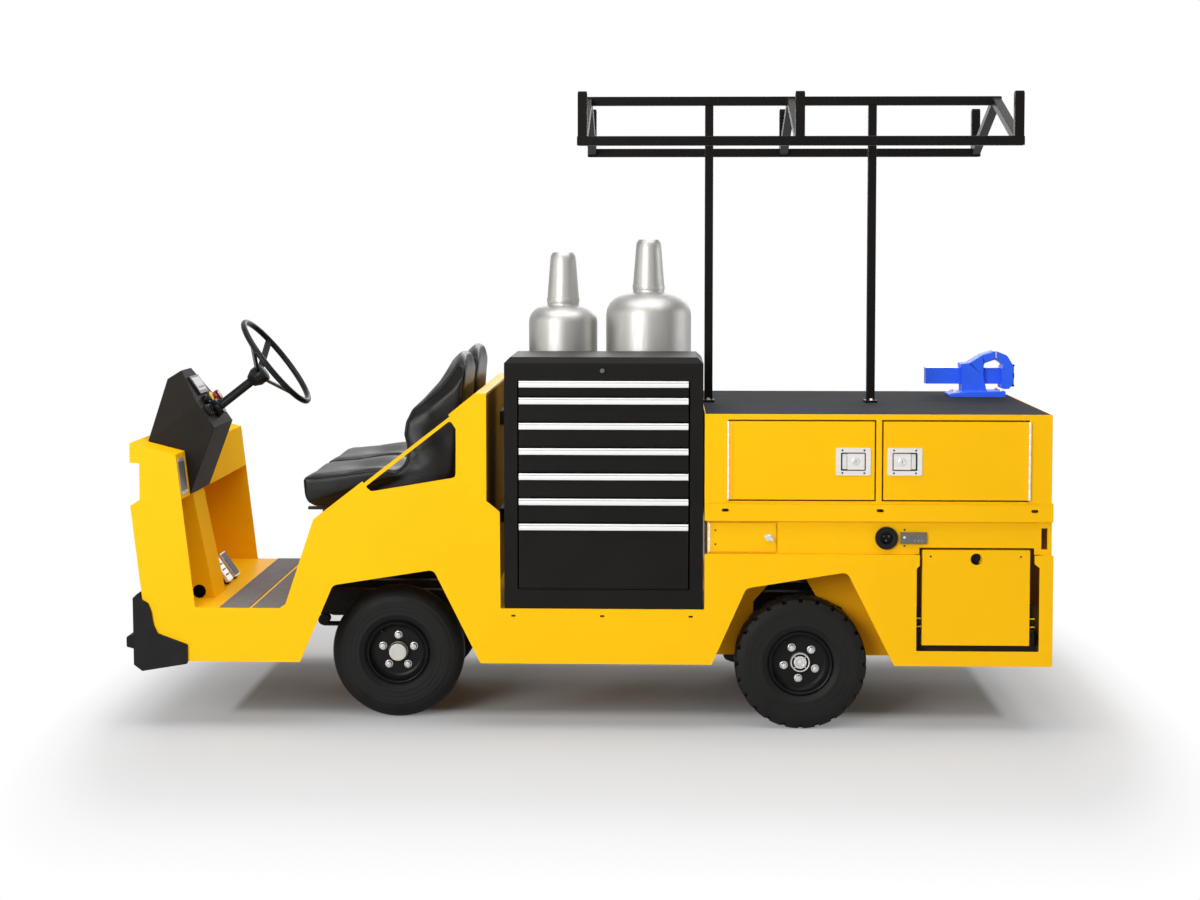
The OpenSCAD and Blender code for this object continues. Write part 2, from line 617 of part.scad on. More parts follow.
// Front axle, with knuckles on kingpins and a tie rod; rear axle with its motor; leaf springs.
hub_f = front_d / 2;
hub_r = rear_d / 2;
beam_top = hub_f + 25;
module front_axle() color(dark) difference() {
    union() {
        box([front_x - 30, -king_y + 20, hub_f - 25], [front_x + 30, king_y - 20, beam_top]);
        both() translate([front_x, king_y, hub_f - 38]) cylinder(h = 76, r = 27);
    }
    both() translate([front_x, king_y, hub_f - 50]) cylinder(h = 100, r = 13);
}
arm_x = 130;
arm_in = 26;
module knuckle() color(dark) translate([front_x, -king_y, hub_f]) difference() {
    union() {
        cylinder(h = 110, r = 12.5, center = true);
        for (z = [-60, 44]) {
            translate([0, 0, z]) cylinder(h = 16, r = 25);
            box([-22, -46, z], [22, 0, z + 16]);
        }
        box([-22, -52, -60], [22, -36, 60]);
        translate([0, -50, 0]) rotate([90, 0, 0]) cylinder(h = front_y - king_y - 41, r = 18);
        across(-40, -2, [[0, -60], [0, -48], [60, -48], [60, -60]]);
        translate([0, 0, -60]) linear_extrude(12) polygon([[40, -40], [60, -40], [arm_x + 16, arm_in - 14],
            [arm_x + 16, arm_in + 14], [arm_x - 14, arm_in + 14], [40, -8]]);
    }
    translate([arm_x, arm_in, -80]) cylinder(h = 60, r = 8);
}
module knuckle_left() knuckle();
module knuckle_right() mirror([0, 1, 0]) knuckle();
module tie_rod() color(dark) translate([front_x + arm_x, 0, hub_f]) union() {
    along_y(0, -34, -king_y + arm_in - 14, king_y - arm_in + 14, 8);
    translate([0, -king_y + arm_in, -58]) cylinder(h = 30, r = 7);
}
module rear_axle() color(dark) union() {
    along_y(rear_x, hub_r, -rear_y + 78, rear_y - 78, 36);
    along_y(rear_x, hub_r, -rear_y + 6, rear_y - 6, 24);
    along_y(rear_x, hub_r, -62, 62, 92);
    translate([rear_x + 40, 0, hub_r + 10]) rotate([0, 90, 0]) cylinder(h = 250, r = 68);
    both() across(hanger_y[0], hanger_y[1], [[rear_x - 45, rear_leaf_z(rear_x - 45) + 0.3],
        [rear_x + 45, rear_leaf_z(rear_x + 45) + 0.3], [rear_x + 45, hub_r], [rear_x - 45, hub_r]]);
}
// A pack of leaves, in one stepped section: the share of the length that each leaf reaches.
leaf_share = [1, 0.78, 0.56, 0.34];
leaf_t = 8;
leaf_w = 50;
function leaf_z(x, a, b, mid) = let (u = (x - a[0]) / (b[0] - a[0])) a[1] + (b[1] - a[1]) * u
    - 4 * u * (1 - u) * ((a[1] + b[1]) / 2 - mid);
spring_front = [for (x = hanger_front) [x, eye_front_z - eye_r + 3]];
spring_rear = [for (i = [0, 1]) [hanger_rear[i], eye_rear_z[i] - eye_r + 3]];
spring_mid = [beam_top + 4 * leaf_t + weld, hub_r - 42];
function rear_leaf_z(x) = leaf_z(x, spring_rear[0], spring_rear[1], spring_mid[1]);
module leaf_pack(a, b, mid, y) {
    m = (a[0] + b[0]) / 2;
    half = (b[0] - a[0]) / 2;
    top = [for (k = [-8:8]) let (x = m + half * k / 8) [x, leaf_z(x, a, b, mid)]];
    under = [for (s = [1, -1], i = s == 1 ? [0:3] : [3:-1:0])
        let (x = m + s * half * leaf_share[i], z = leaf_z(x, a, b, mid) - leaf_t * i, low = [x, z - leaf_t])
        each (i == 0 ? [low] : s == 1 ? [[x, z], low] : [low, [x, z]])];
    union() {
        across(y - leaf_w / 2, y + leaf_w / 2, concat(top, under));
        for (e = [a, b]) along_y(e[0], e[1] + eye_r - 6, y - leaf_w / 2, y + leaf_w / 2, eye_r);
    }
}
module leaf_springs() color(dark) both() {
    leaf_pack(spring_front[0], spring_front[1], spring_mid[0], -(rail_in + rail_out) / 2);
    leaf_pack(spring_rear[0], spring_rear[1], spring_mid[1], -(hanger_y[0] + hanger_y[1]) / 2);
}

// Wheels. A tyre's section goes round the axle; the rear ones have lugs, cut as notches.
rim_r = 112;
module tyre(x, y, d, lugs) color(black) translate([x, -y, d / 2]) rotate([90, 0, 0]) difference() {
    w = tyre_w / 2;
    r = d / 2;
    rotate_extrude() polygon(lugs > 0 ?
        [[rim_r, -w + 10], [rim_r + 20, -w], [r - 34, -w], [r - 5, -w + 6], [r, -w + 16], [r, w - 16],
            [r - 5, w - 6], [r - 34, w], [rim_r + 20, w], [rim_r, w - 10]] :
        [[rim_r, -w + 14], [rim_r + 22, -w], [r - 52, -w], [r - 24, -w + 6], [r - 7, -w + 20], [r, -w + 42],
            [r, w - 42], [r - 7, w - 20], [r - 24, w - 6], [r - 52, w], [rim_r + 22, w], [rim_r, w - 14]]);
    if (lugs > 0) for (k = [0:lugs - 1]) rotate([0, 0, 360 * k / lugs]) {
        translate([r - 13, -7, w - 34]) cube([20, 14, 40]);
        rotate([0, 0, 180 / lugs]) translate([r - 13, -7, -w - 6]) cube([20, 14, 40]);
    }
}
// A wheel: rim, dished disc, hub and five bolts; bore is the radius of the hole for the spindle.
module rim(x, y, d, bore, hub, face_in, turn) color(black) translate([x, -y, d / 2]) rotate([90, 0, 0]) {
    w = tyre_w / 2;
    difference() {
        rotate_extrude() polygon([[rim_r - 12, -w + 14], [rim_r, -w + 14], [rim_r, w - 14], [rim_r - 6, w - 6],
            [rim_r - 12, w - 10], [rim_r - 14, face_in + 4], [88, face_in - 6], [80, face_in - 8],
            [0, face_in - 8], [0, face_in - 18], [88, face_in - 18], [rim_r - 12, face_in - 10]]);
        translate([0, 0, face_in - 60]) cylinder(h = 46, r = bore);
    }
    for (k = [0:4]) rotate([0, 0, turn + 72 * k]) translate([bolt_circle / 2, 0, face_in - 9])
        cylinder(h = 15, r = 10, $fn = 6);
    difference() {
        translate([0, 0, face_in - 42]) cylinder(h = 36 + hub, r = 34);
        translate([0, 0, face_in - 60]) cylinder(h = 50, r = bore);
        if (hub < 20) translate([0, 0, face_in - 6]) cylinder(h = hub + 1, r = 16);
    }
}
module front_rim() rim(front_x, front_y, front_d, 18.05, 24, 26, 90);
module rear_rim() rim(rear_x, rear_y, rear_d, 24.05, 12, 22, 48);
module tyre_front_left() tyre(front_x, front_y, front_d, 0);
module tyre_front_right() mirror([0, 1, 0]) tyre(front_x, front_y, front_d, 0);
module tyre_rear_left() tyre(rear_x, rear_y, rear_d, 24);
module tyre_rear_right() mirror([0, 1, 0]) tyre(rear_x, rear_y, rear_d, 24);
module rim_front_left() front_rim();
module rim_front_right() mirror([0, 1, 0]) front_rim();
module rim_rear_left() rear_rim();
module rim_rear_right() mirror([0, 1, 0]) rear_rim();

chassis();
side_left();
side_right();
front_shell();
lamps();
bumper();
floor_pan();
floor_mats();
column_post();
console();
controls();
pedals();
steering_column();
steering_wheel();
seat_box();
cab_wall();
seat_cushions();
seat_backs();
seat_slides();
bay_floor();
tool_chest();
drawer_1();
drawer_2();
drawer_3();
drawer_4();
drawer_5();
drawer_6();
drawer_7();
bottle_rack();
gas_bottles();
deck_frame();
service_door();
service_fittings();
battery();
cabinet();
deck_mat();
door_left_front();
door_left_rear();
door_right_front();
door_right_rear();
rack_posts();
rack_frame();
vise_body();
vise_slide();
wheelhouses();
front_axle();
knuckle_left();
knuckle_right();
tie_rod();
leaf_springs();
rear_axle();
tyre_front_left();
tyre_front_right();
tyre_rear_left();
tyre_rear_right();
rim_front_left();
rim_front_right();
rim_rear_left();
rim_rear_right();
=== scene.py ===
from math import cos, pi, radians, sin

import bmesh
import bpy
from mathutils import Matrix, Vector
from mathutils.bvhtree import BVHTree


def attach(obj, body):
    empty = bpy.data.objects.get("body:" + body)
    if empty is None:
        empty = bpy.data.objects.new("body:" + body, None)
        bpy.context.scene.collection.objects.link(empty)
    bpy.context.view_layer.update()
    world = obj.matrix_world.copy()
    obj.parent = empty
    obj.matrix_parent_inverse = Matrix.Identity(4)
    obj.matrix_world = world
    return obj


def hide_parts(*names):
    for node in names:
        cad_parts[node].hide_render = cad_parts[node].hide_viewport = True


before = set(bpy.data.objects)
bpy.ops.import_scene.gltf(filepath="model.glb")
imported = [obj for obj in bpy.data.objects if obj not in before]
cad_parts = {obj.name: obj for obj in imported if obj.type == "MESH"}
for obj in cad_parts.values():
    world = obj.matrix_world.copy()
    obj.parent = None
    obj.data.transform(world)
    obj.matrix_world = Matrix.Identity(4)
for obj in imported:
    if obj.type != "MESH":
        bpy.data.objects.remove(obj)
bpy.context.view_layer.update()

scene = bpy.context.scene
scene.view_settings.view_transform = "Standard"
MM = 0.001


# Materials

def blank(name):
    mat = bpy.data.materials.new(name)
    mat.use_nodes = True
    nodes = mat.node_tree.nodes
    return mat, nodes, mat.node_tree.links, nodes["Principled BSDF"]


def place(nodes, links, at=(0, 0, 0), stretch=(1, 1, 1)):
    """Object coordinates in metres, which follow the body, moved by at and stretched."""
    coords = nodes.new("ShaderNodeTexCoord")
    move = nodes.new("ShaderNodeMapping")
    move.inputs["Location"].default_value = [-a * s for a, s in zip(at, stretch)]
    move.inputs["Scale"].default_value = stretch
    links.new(coords.outputs["Object"], move.inputs["Vector"])
    return move.outputs["Vector"]


def noise(nodes, links, where, scale, detail=4.0):
    n = nodes.new("ShaderNodeTexNoise")
    n.inputs["Scale"].default_value = scale
    n.inputs["Detail"].default_value = detail
    links.new(where, n.inputs["Vector"])
    return n.outputs["Fac"]


def ramp(nodes, links, fac, stops):
    r = nodes.new("ShaderNodeValToRGB")
    while len(r.color_ramp.elements) < len(stops):
        r.color_ramp.elements.new(0.5)
    for e, (at, colour) in zip(r.color_ramp.elements, stops):
        e.position = at
        e.color = (*colour, 1)
    links.new(fac, r.inputs["Fac"])
    return r.outputs["Color"]


def span(nodes, links, fac, lo, hi, from_lo=0.3, from_hi=0.7):
    m = nodes.new("ShaderNodeMapRange")
    for key, value in (("From Min", from_lo), ("From Max", from_hi), ("To Min", lo), ("To Max", hi)):
        m.inputs[key].default_value = value
    links.new(fac, m.inputs["Value"])
    return m.outputs["Result"]


def bump(nodes, links, bsdf, height, strength, distance):
    b = nodes.new("ShaderNodeBump")
    b.inputs["Strength"].default_value = strength
    b.inputs["Distance"].default_value = distance
    links.new(height, b.inputs["Height"])
    links.new(b.outputs["Normal"], bsdf.inputs["Normal"])


def finish(name, colour, rough, metal=0.0, vary=0.05, patch=5.0, grain=0.0, grain_scale=600.0,
           coat=0.0, stretch=(1, 1, 1), spec=0.3, sheen=0.0, rough_vary=0.06):
    """Paint, plastic, metal or rubber: soft patches in colour and gloss, and a fine grain."""
    mat, nodes, links, bsdf = blank(name)
    where = place(nodes, links, stretch=stretch)
    cloud = noise(nodes, links, where, patch)
    tint = [(0.3, [c * (1 - vary) for c in colour]), (0.7, [min(1, c * (1 + vary)) for c in colour])]
    links.new(ramp(nodes, links, cloud, tint), bsdf.inputs["Base Color"])
    fine = noise(nodes, links, where, grain_scale, 2.0)
    links.new(span(nodes, links, fine, rough - rough_vary, rough + rough_vary), bsdf.inputs["Roughness"])
    bsdf.inputs["Metallic"].default_value = metal
    bsdf.inputs["Specular IOR Level"].default_value = spec
    bsdf.inputs["Coat Weight"].default_value = coat
    bsdf.inputs["Coat Roughness"].default_value = 0.12
    bsdf.inputs["Sheen Weight"].default_value = sheen
    if grain:
        bump(nodes, links, bsdf, fine, 0.5, grain)
    return mat


def tyre_rubber(name, centre, period):
    """Black rubber with moulded rings round the axle."""
    mat, nodes, links, bsdf = blank(name)
    where = place(nodes, links, at=centre)
    cloud = noise(nodes, links, where, 14.0)
    links.new(ramp(nodes, links, cloud, [(0.3, (0.0052, 0.0049, 0.0046)), (0.7, (0.0094, 0.009, 0.0084))]),
              bsdf.inputs["Base Color"])
    rings = nodes.new("ShaderNodeTexWave")
    rings.wave_type = "RINGS"
    rings.rings_direction = "Y"
    rings.inputs["Scale"].default_value = 2 * pi / (20 * period)
    links.new(where, rings.inputs["Vector"])
    links.new(span(nodes, links, cloud, 0.5, 0.66), bsdf.inputs["Roughness"])
    bsdf.inputs["Specular IOR Level"].default_value = 0.22
    bump(nodes, links, bsdf, rings.outputs["Fac"], 0.35, 0.0012)
    return mat


def lamp_glass():
    """Ribbed clear lenses in front, and the same lenses in red behind, by place along the vehicle."""
    mat, nodes, links, bsdf = blank("lamp_glass")
    where = place(nodes, links)
    split = nodes.new("ShaderNodeSeparateXYZ")
    links.new(where, split.inputs["Vector"])
    rear = span(nodes, links, split.outputs["X"], 0, 1, -0.001, 0.001)
    links.new(ramp(nodes, links, rear, [(0.4, (0.82, 0.84, 0.86)), (0.6, (0.42, 0.006, 0.006))]),
              bsdf.inputs["Base Color"])
    ribs = nodes.new("ShaderNodeTexWave")
    ribs.bands_direction = "Y"
    ribs.inputs["Scale"].default_value = 38.0
    links.new(where, ribs.inputs["Vector"])
    bsdf.inputs["Roughness"].default_value = 0.08
    bsdf.inputs["Coat Weight"].default_value = 1.0
    bump(nodes, links, bsdf, ribs.outputs["Fac"], 0.6, 0.001)
    return mat


yellow = finish("yellow_paint", (0.93, 0.50, 0.004), 0.36, vary=0.025, patch=2.0, grain=0.00004, grain_scale=900,
                spec=0.08)
yellow_front = finish("yellow_paint_satin", (0.93, 0.50, 0.004), 0.55, vary=0.025, patch=2.0, grain=0.00004,
                      grain_scale=900, spec=0.012)
# A darker copy of the yellow paint for the wheelhouses: painted shade in their recesses
yellow_painted_shade = finish("yellow_paint_painted_shade", (0.72, 0.35, 0.004), 0.5, vary=0.04, patch=3.0, grain=0.00004, spec=0.06)
# A dark yellow for the bay behind the cab wall: painted shade
bay_painted_shade = finish("bay_painted_shade", (0.30, 0.145, 0.003), 0.85, vary=0.08, patch=4.0, grain=0.0001, spec=0.03)
chassis_paint = finish("chassis_paint", (0.018, 0.017, 0.016), 0.5, vary=0.2, patch=9.0, grain=0.0001, spec=0.2)
chest_paint = finish("chest_paint", (0.0105, 0.0096, 0.0086), 0.42, vary=0.1, patch=6.0, grain=0.00006,
                     grain_scale=1400, spec=0.07)
rack_paint = finish("rack_paint", (0.0075, 0.006, 0.0052), 0.4, vary=0.12, patch=5.0, grain=0.00005,
                    grain_scale=1100, spec=0.08)
rim_paint = finish("rim_paint", (0.0075, 0.0072, 0.0072), 0.34, vary=0.12, patch=12.0, grain=0.00005, spec=0.13)
bumper_plastic = finish("bumper_plastic", (0.0135, 0.0128, 0.0125), 0.6, vary=0.1, patch=20, grain=0.0003,
                        grain_scale=420, spec=0.10)
console_plastic = finish("console_plastic", (0.0205, 0.018, 0.0155), 0.55, vary=0.06, patch=7, grain=0.00012,
                         grain_scale=900, spec=0.03)
control_plastic = finish("control_plastic", (0.010, 0.010, 0.011), 0.34, vary=0.1, patch=30, grain=0.00008,
                         grain_scale=1500, spec=0.14)
wheel_grip = finish("wheel_grip", (0.007, 0.0068, 0.0068), 0.36, vary=0.12, patch=25, grain=0.00012,
                    grain_scale=1200, spec=0.16)
vinyl = finish("seat_vinyl", (0.0058, 0.0052, 0.0046), 0.35, vary=0.1, patch=9, grain=0.0003, grain_scale=520,
               sheen=0.01, spec=0.22)
piping = finish("seat_piping", (0.009, 0.009, 0.0095), 0.42, vary=0.12, patch=40, grain=0.0001)
grip_mat = finish("grip_mat", (0.155, 0.152, 0.16), 0.8, vary=0.12, patch=26, grain=0.0009, grain_scale=900,
                  spec=0.3)
deck_rubber = finish("deck_rubber", (0.028, 0.0305, 0.0345), 0.85, vary=0.14, patch=7, grain=0.0003,
                     grain_scale=500, stretch=(0.6, 3.0, 1), spec=0.06)
bottle_steel = finish("bottle_steel", (0.50, 0.49, 0.468), 0.48, metal=1.0, vary=0.05, patch=4, grain=0.00004,
                      grain_scale=220, stretch=(1, 1, 0.08))
blue_paint = finish("blue_paint", (0.030, 0.125, 0.92), 0.4, vary=0.05, patch=12, grain=0.0002, grain_scale=300,
                    spec=0.2)
aluminium = finish("aluminium", (0.90, 0.90, 0.89), 0.34, metal=0.45, vary=0.03, patch=30, grain=0.00004,
                   grain_scale=300, stretch=(0.1, 4, 4))
stainless = finish("stainless", (0.80, 0.785, 0.75), 0.34, metal=0.5, vary=0.05, patch=30, grain=0.00003,
                   grain_scale=400, stretch=(0.15, 3, 3))
zinc = finish("zinc", (0.74, 0.725, 0.70), 0.28, metal=0.6, vary=0.08, patch=60, grain=0.00005)
cap_paint = finish("cap_paint", (0.62, 0.60, 0.56), 0.42, vary=0.06, patch=30, grain=0.00006)
# Black for screws, pull ends and latch pans, and painted shade in holes and slots
black_and_painted_shade = finish("black_and_painted_shade", (0.006, 0.006, 0.006), 0.6, vary=0.2, patch=40)
bare_plate = finish("bare_plate", (0.50, 0.50, 0.52), 0.36, metal=0.3, vary=0.05, patch=20, grain=0.00003)
screen = finish("screen", (0.10, 0.115, 0.125), 0.3, vary=0.06, patch=18, coat=0.2)
panel_grey = finish("panel_grey", (0.13, 0.125, 0.115), 0.42, vary=0.05, patch=40, grain=0.00006)
stop_red = finish("stop_red", (0.52, 0.018, 0.010), 0.28, vary=0.06, patch=30, coat=0.5)
ring_yellow = finish("ring_yellow", (0.74, 0.52, 0.02), 0.32, vary=0.05, patch=40)
led_white = finish("led_white", (0.82, 0.82, 0.80), 0.25, vary=0.03, patch=60)
led_red = finish("led_red", (0.34, 0.02, 0.015), 0.25, vary=0.05, patch=60)
led_green = finish("led_green", (0.03, 0.20, 0.05), 0.25, vary=0.05, patch=60)
lens = lamp_glass()

FINISHES = {
    "yellow": (yellow, ["side_left", "side_right", "floor_pan", "seat_box", "cab_wall", "bay_floor", "deck_frame",
                        "service_door", "battery", "cabinet", "door_left_front", "door_left_rear",
                        "door_right_front", "door_right_rear"]),
    "front": (yellow_front, ["front_shell", "column_post"]),
    # The wheelhouses take the darker yellow: painted shade
    "inside": (yellow_painted_shade, ["wheelhouses"]),
    "chassis": (chassis_paint, ["chassis", "front_axle", "rear_axle", "knuckle_left", "knuckle_right", "tie_rod",
                                "leaf_springs", "seat_slides", "pedals", "bottle_rack"]),
    "chest": (chest_paint, ["tool_chest"] + [f"drawer_{n}" for n in range(1, 8)]),
    "rack": (rack_paint, ["rack_posts", "rack_frame"]),
    "rim": (rim_paint, ["rim_front_left", "rim_front_right", "rim_rear_left", "rim_rear_right"]),
    "bumper": (bumper_plastic, ["bumper"]),
    "console": (console_plastic, ["console"]),
    "controls": (control_plastic, ["controls", "service_fittings"]),
    "steering": (wheel_grip, ["steering_column", "steering_wheel"]),
    "seats": (vinyl, ["seat_cushions", "seat_backs"]),
    "mats": (grip_mat, ["floor_mats"]),
    "deck": (deck_rubber, ["deck_mat"]),
    "bottles": (bottle_steel, ["gas_bottles"]),
    "vise": (blue_paint, ["vise_body", "vise_slide"]),
    "lamps": (lens, ["lamps"]),
}
WHEELS = {
    "front_left": (-0.664, -0.322, 0.232), "front_right": (-0.664, 0.322, 0.232),
    "rear_left": (0.740, -0.440, 0.226), "rear_right": (0.740, 0.440, 0.226),
}
# Widths of the rounded edges
DEFAULT_EDGE = 0.0012
EDGE = {"side_left": 0.0008, "side_right": 0.0008, "front_shell": 0.0015, "seat_box": 0.0015, "cab_wall": 0.0015,
        "bumper": 0.003, "console": 0.003, "tool_chest": 0.003, "deck_frame": 0.0012, "cabinet": 0.0012,
        "rack_frame": 0.003, "rack_posts": 0.003, "vise_body": 0.004, "vise_slide": 0.004, "battery": 0.0025,
        "floor_mats": 0.0008, "deck_mat": 0.0006, "leaf_springs": 0.0008, "gas_bottles": 0.001}


def dress(node, mat):
    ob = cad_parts[node]
    ob.data.materials.clear()
    ob.data.materials.append(mat)
    weld = ob.modifiers.new("weld", "WELD")
    weld.merge_threshold = 0.00002
    edge = ob.modifiers.new("edges", "BEVEL")
    edge.width = EDGE.get(node, DEFAULT_EDGE)
    edge.segments = 2
    edge.limit_method = "ANGLE"
    edge.angle_limit = radians(32)
    edge.harden_normals = True


for mat, nodes in FINISHES.values():
    for node in nodes:
        dress(node, mat)
for wheel, centre in WHEELS.items():
    dress("tyre_" + wheel, tyre_rubber("rubber_" + wheel, centre, 0.016 if "front" in wheel else 0.021))


# Pieces. Sizes below are in millimetres, in the frame of the solids.

def add_box(bm, lo, hi):
    for v in bmesh.ops.create_cube(bm, size=1.0)["verts"]:
        v.co = [MM * ((a + b) / 2 + c * (b - a)) for a, b, c in zip(lo, hi, v.co)]


def add_prism(bm, outline, a, b, at):
    """An outline of (u, v) carried from a to b; at(u, v, w) gives the place."""
    low = [bm.verts.new(at(u, v, a) * MM) for u, v in outline]
    high = [bm.verts.new(at(u, v, b) * MM) for u, v in outline]
    bm.faces.new(low)
    bm.faces.new(high[::-1])
    n = len(outline)
    for i in range(n):
        bm.faces.new((low[i], high[i], high[(i + 1) % n], low[(i + 1) % n]))


def add_lathe(bm, profile, foot, axis, n=40):
    """A profile of (radius, height) turned round an axis through foot."""
    axis = Vector(axis).normalized()
    u = axis.orthogonal().normalized()
    w = axis.cross(u)
    rings = []
    for r, h in profile:
        mid = Vector(foot) + axis * h
        if r < 1e-6:
            rings.append([bm.verts.new(mid * MM)])
        else:
            rings.append([bm.verts.new((mid + r * (cos(2 * pi * k / n) * u + sin(2 * pi * k / n) * w)) * MM)
                          for k in range(n)])
    for p, q in zip(rings, rings[1:]):
        for k in range(n):
            j = (k + 1) % n
            ends = [p[k % len(p)], p[j % len(p)], q[j % len(q)], q[k % len(q)]]
            ends = list(dict.fromkeys(ends))
            if len(ends) > 2:
                bm.faces.new(ends)


def add_ring(bm, outer, inner, a, b, at):
    """A flat ring between two outlines of the same number of points."""
    n = len(outer)
    rows = [[bm.verts.new(at(u, v, w) * MM) for u, v in line] for line, w in
            ((outer, a), (outer, b), (inner, b), (inner, a))]
    for p, q in zip(rows, rows[1:] + rows[:1]):
        for i in range(n):
            bm.faces.new((p[i], q[i], q[(i + 1) % n], p[(i + 1) % n]))


def rounded(x0, x1, z0, z1, r, n=5):
    out = []
    for cx, cz, a in ((x1 - r, z1 - r, 0), (x0 + r, z1 - r, 90), (x0 + r, z0 + r, 180), (x1 - r, z0 + r, 270)):
        for k in range(n + 1):
            t = radians(a + 90 * k / n)
            out.append((cx + r * cos(t), cz + r * sin(t)))
    return out


def circle(x, z, r, n=32):
    return [(x + r * cos(2 * pi * k / n), z + r * sin(2 * pi * k / n)) for k in range(n)]


def piece(name, bm, mat, body="body", edge=0.4, smooth=32):
    """Makes an object of the form, with soft edges, and lets it ride on its body."""
    bmesh.ops.recalc_face_normals(bm, faces=bm.faces)
    me = bpy.data.meshes.new(name)
    bm.to_mesh(me)
    bm.free()
    me.materials.append(mat)
    for p in me.polygons:
        p.use_smooth = True
    me.set_sharp_from_angle(angle=radians(smooth))
    ob = bpy.data.objects.new(name, me)
    scene.collection.objects.link(ob)
    if edge:
        mod = ob.modifiers.new("edges", "BEVEL")
        mod.width = edge * MM
        mod.segments = 2
        mod.limit_method = "ANGLE"
        mod.angle_limit = radians(40)
        mod.harden_normals = True
    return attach(ob, body)


def side_at(s):
    """Outlines in X and Z on the side s, w being the distance from the middle plane."""
    return lambda u, v, w: Vector((u, s * w, v))


def screw(bm, spot, axis, r=4.0, head=1.6):
    """A pan-head screw with a socket."""
    add_lathe(bm, [(0, -0.2), (r, -0.2), (r, head * 0.5), (r * 0.8, head), (r * 0.42, head),
                   (r * 0.36, head * 0.35), (0, head * 0.35)], spot, axis, 20)


# Tool chest: drawer pulls with dark ends, a fold along each drawer's lower edge, and the lock
ROWS = [(1146, 57), (1060, 86), (974, 86), (888, 86), (802, 86), (716, 86), (488, 228)]
DRAWER_FACE = -546.9
PULL_FROM, PULL_TO = -224.3, 353.3
LOCK = (60, -545, 1236)


def along_x(u, v, w):
    """Sections in Y and Z, carried along the vehicle."""
    return Vector((w, u, v))


for n, (low, tall) in enumerate(ROWS, 1):
    top = low + tall - 2.5
    bm = bmesh.new()
    line = [(DRAWER_FACE, top + 0.3), (-555.8, top + 0.3), (-556.8, top - 0.8), (-556.8, top - 4.4),
            (-555.9, top - 4.9), (-555.9, top - 5.9), (-556.8, top - 6.4), (-556.8, top - 18.6),
            (-555.2, top - 21.3), (DRAWER_FACE, top - 21.3)]
    add_prism(bm, line, PULL_FROM, PULL_TO, along_x)
    piece(f"pull_{n}", bm, aluminium, f"drawer_{n}", edge=0.25)
    bm = bmesh.new()
    line = [(DRAWER_FACE, low + 7), (-548.6, low + 8.5), (-548.6, low + 11), (DRAWER_FACE, low + 12.5)]
    add_prism(bm, line, PULL_FROM, PULL_TO, along_x)
    piece(f"lip_{n}", bm, chest_paint, f"drawer_{n}", edge=0.4)
    bm = bmesh.new()
    for x in (-224.6, 352.4):
        add_box(bm, (x, -557.2, top - 21.6), (x + 1.2, DRAWER_FACE, top + 0.5))
    piece(f"pull_ends_{n}", bm, black_and_painted_shade, f"drawer_{n}", edge=0.2)
bm = bmesh.new()
add_lathe(bm, [(0, 4.0), (8.6, 4.0), (8.6, -1.2), (12.5, -1.2), (12.5, -0.1), (12.6, 0.2)], LOCK, (0, 1, 0))
piece("chest_lock_ring", bm, rack_paint, edge=0.2)
bm = bmesh.new()
add_lathe(bm, [(0, -0.6), (1.2, -0.6), (7.4, -0.6), (8.0, 0.2), (8.0, 3.0), (0, 3.0)], LOCK, (0, 1, 0))
piece("chest_lock_plug", bm, panel_grey, edge=0.2)
# The key slot is a dark bar on the plug: painted shade for its depth
bm = bmesh.new()
add_box(bm, (59.2, -546.0, 1231.5), (60.8, -545.4, 1240.5))
piece("chest_keyway_painted_shade", bm, black_and_painted_shade, edge=0.1)

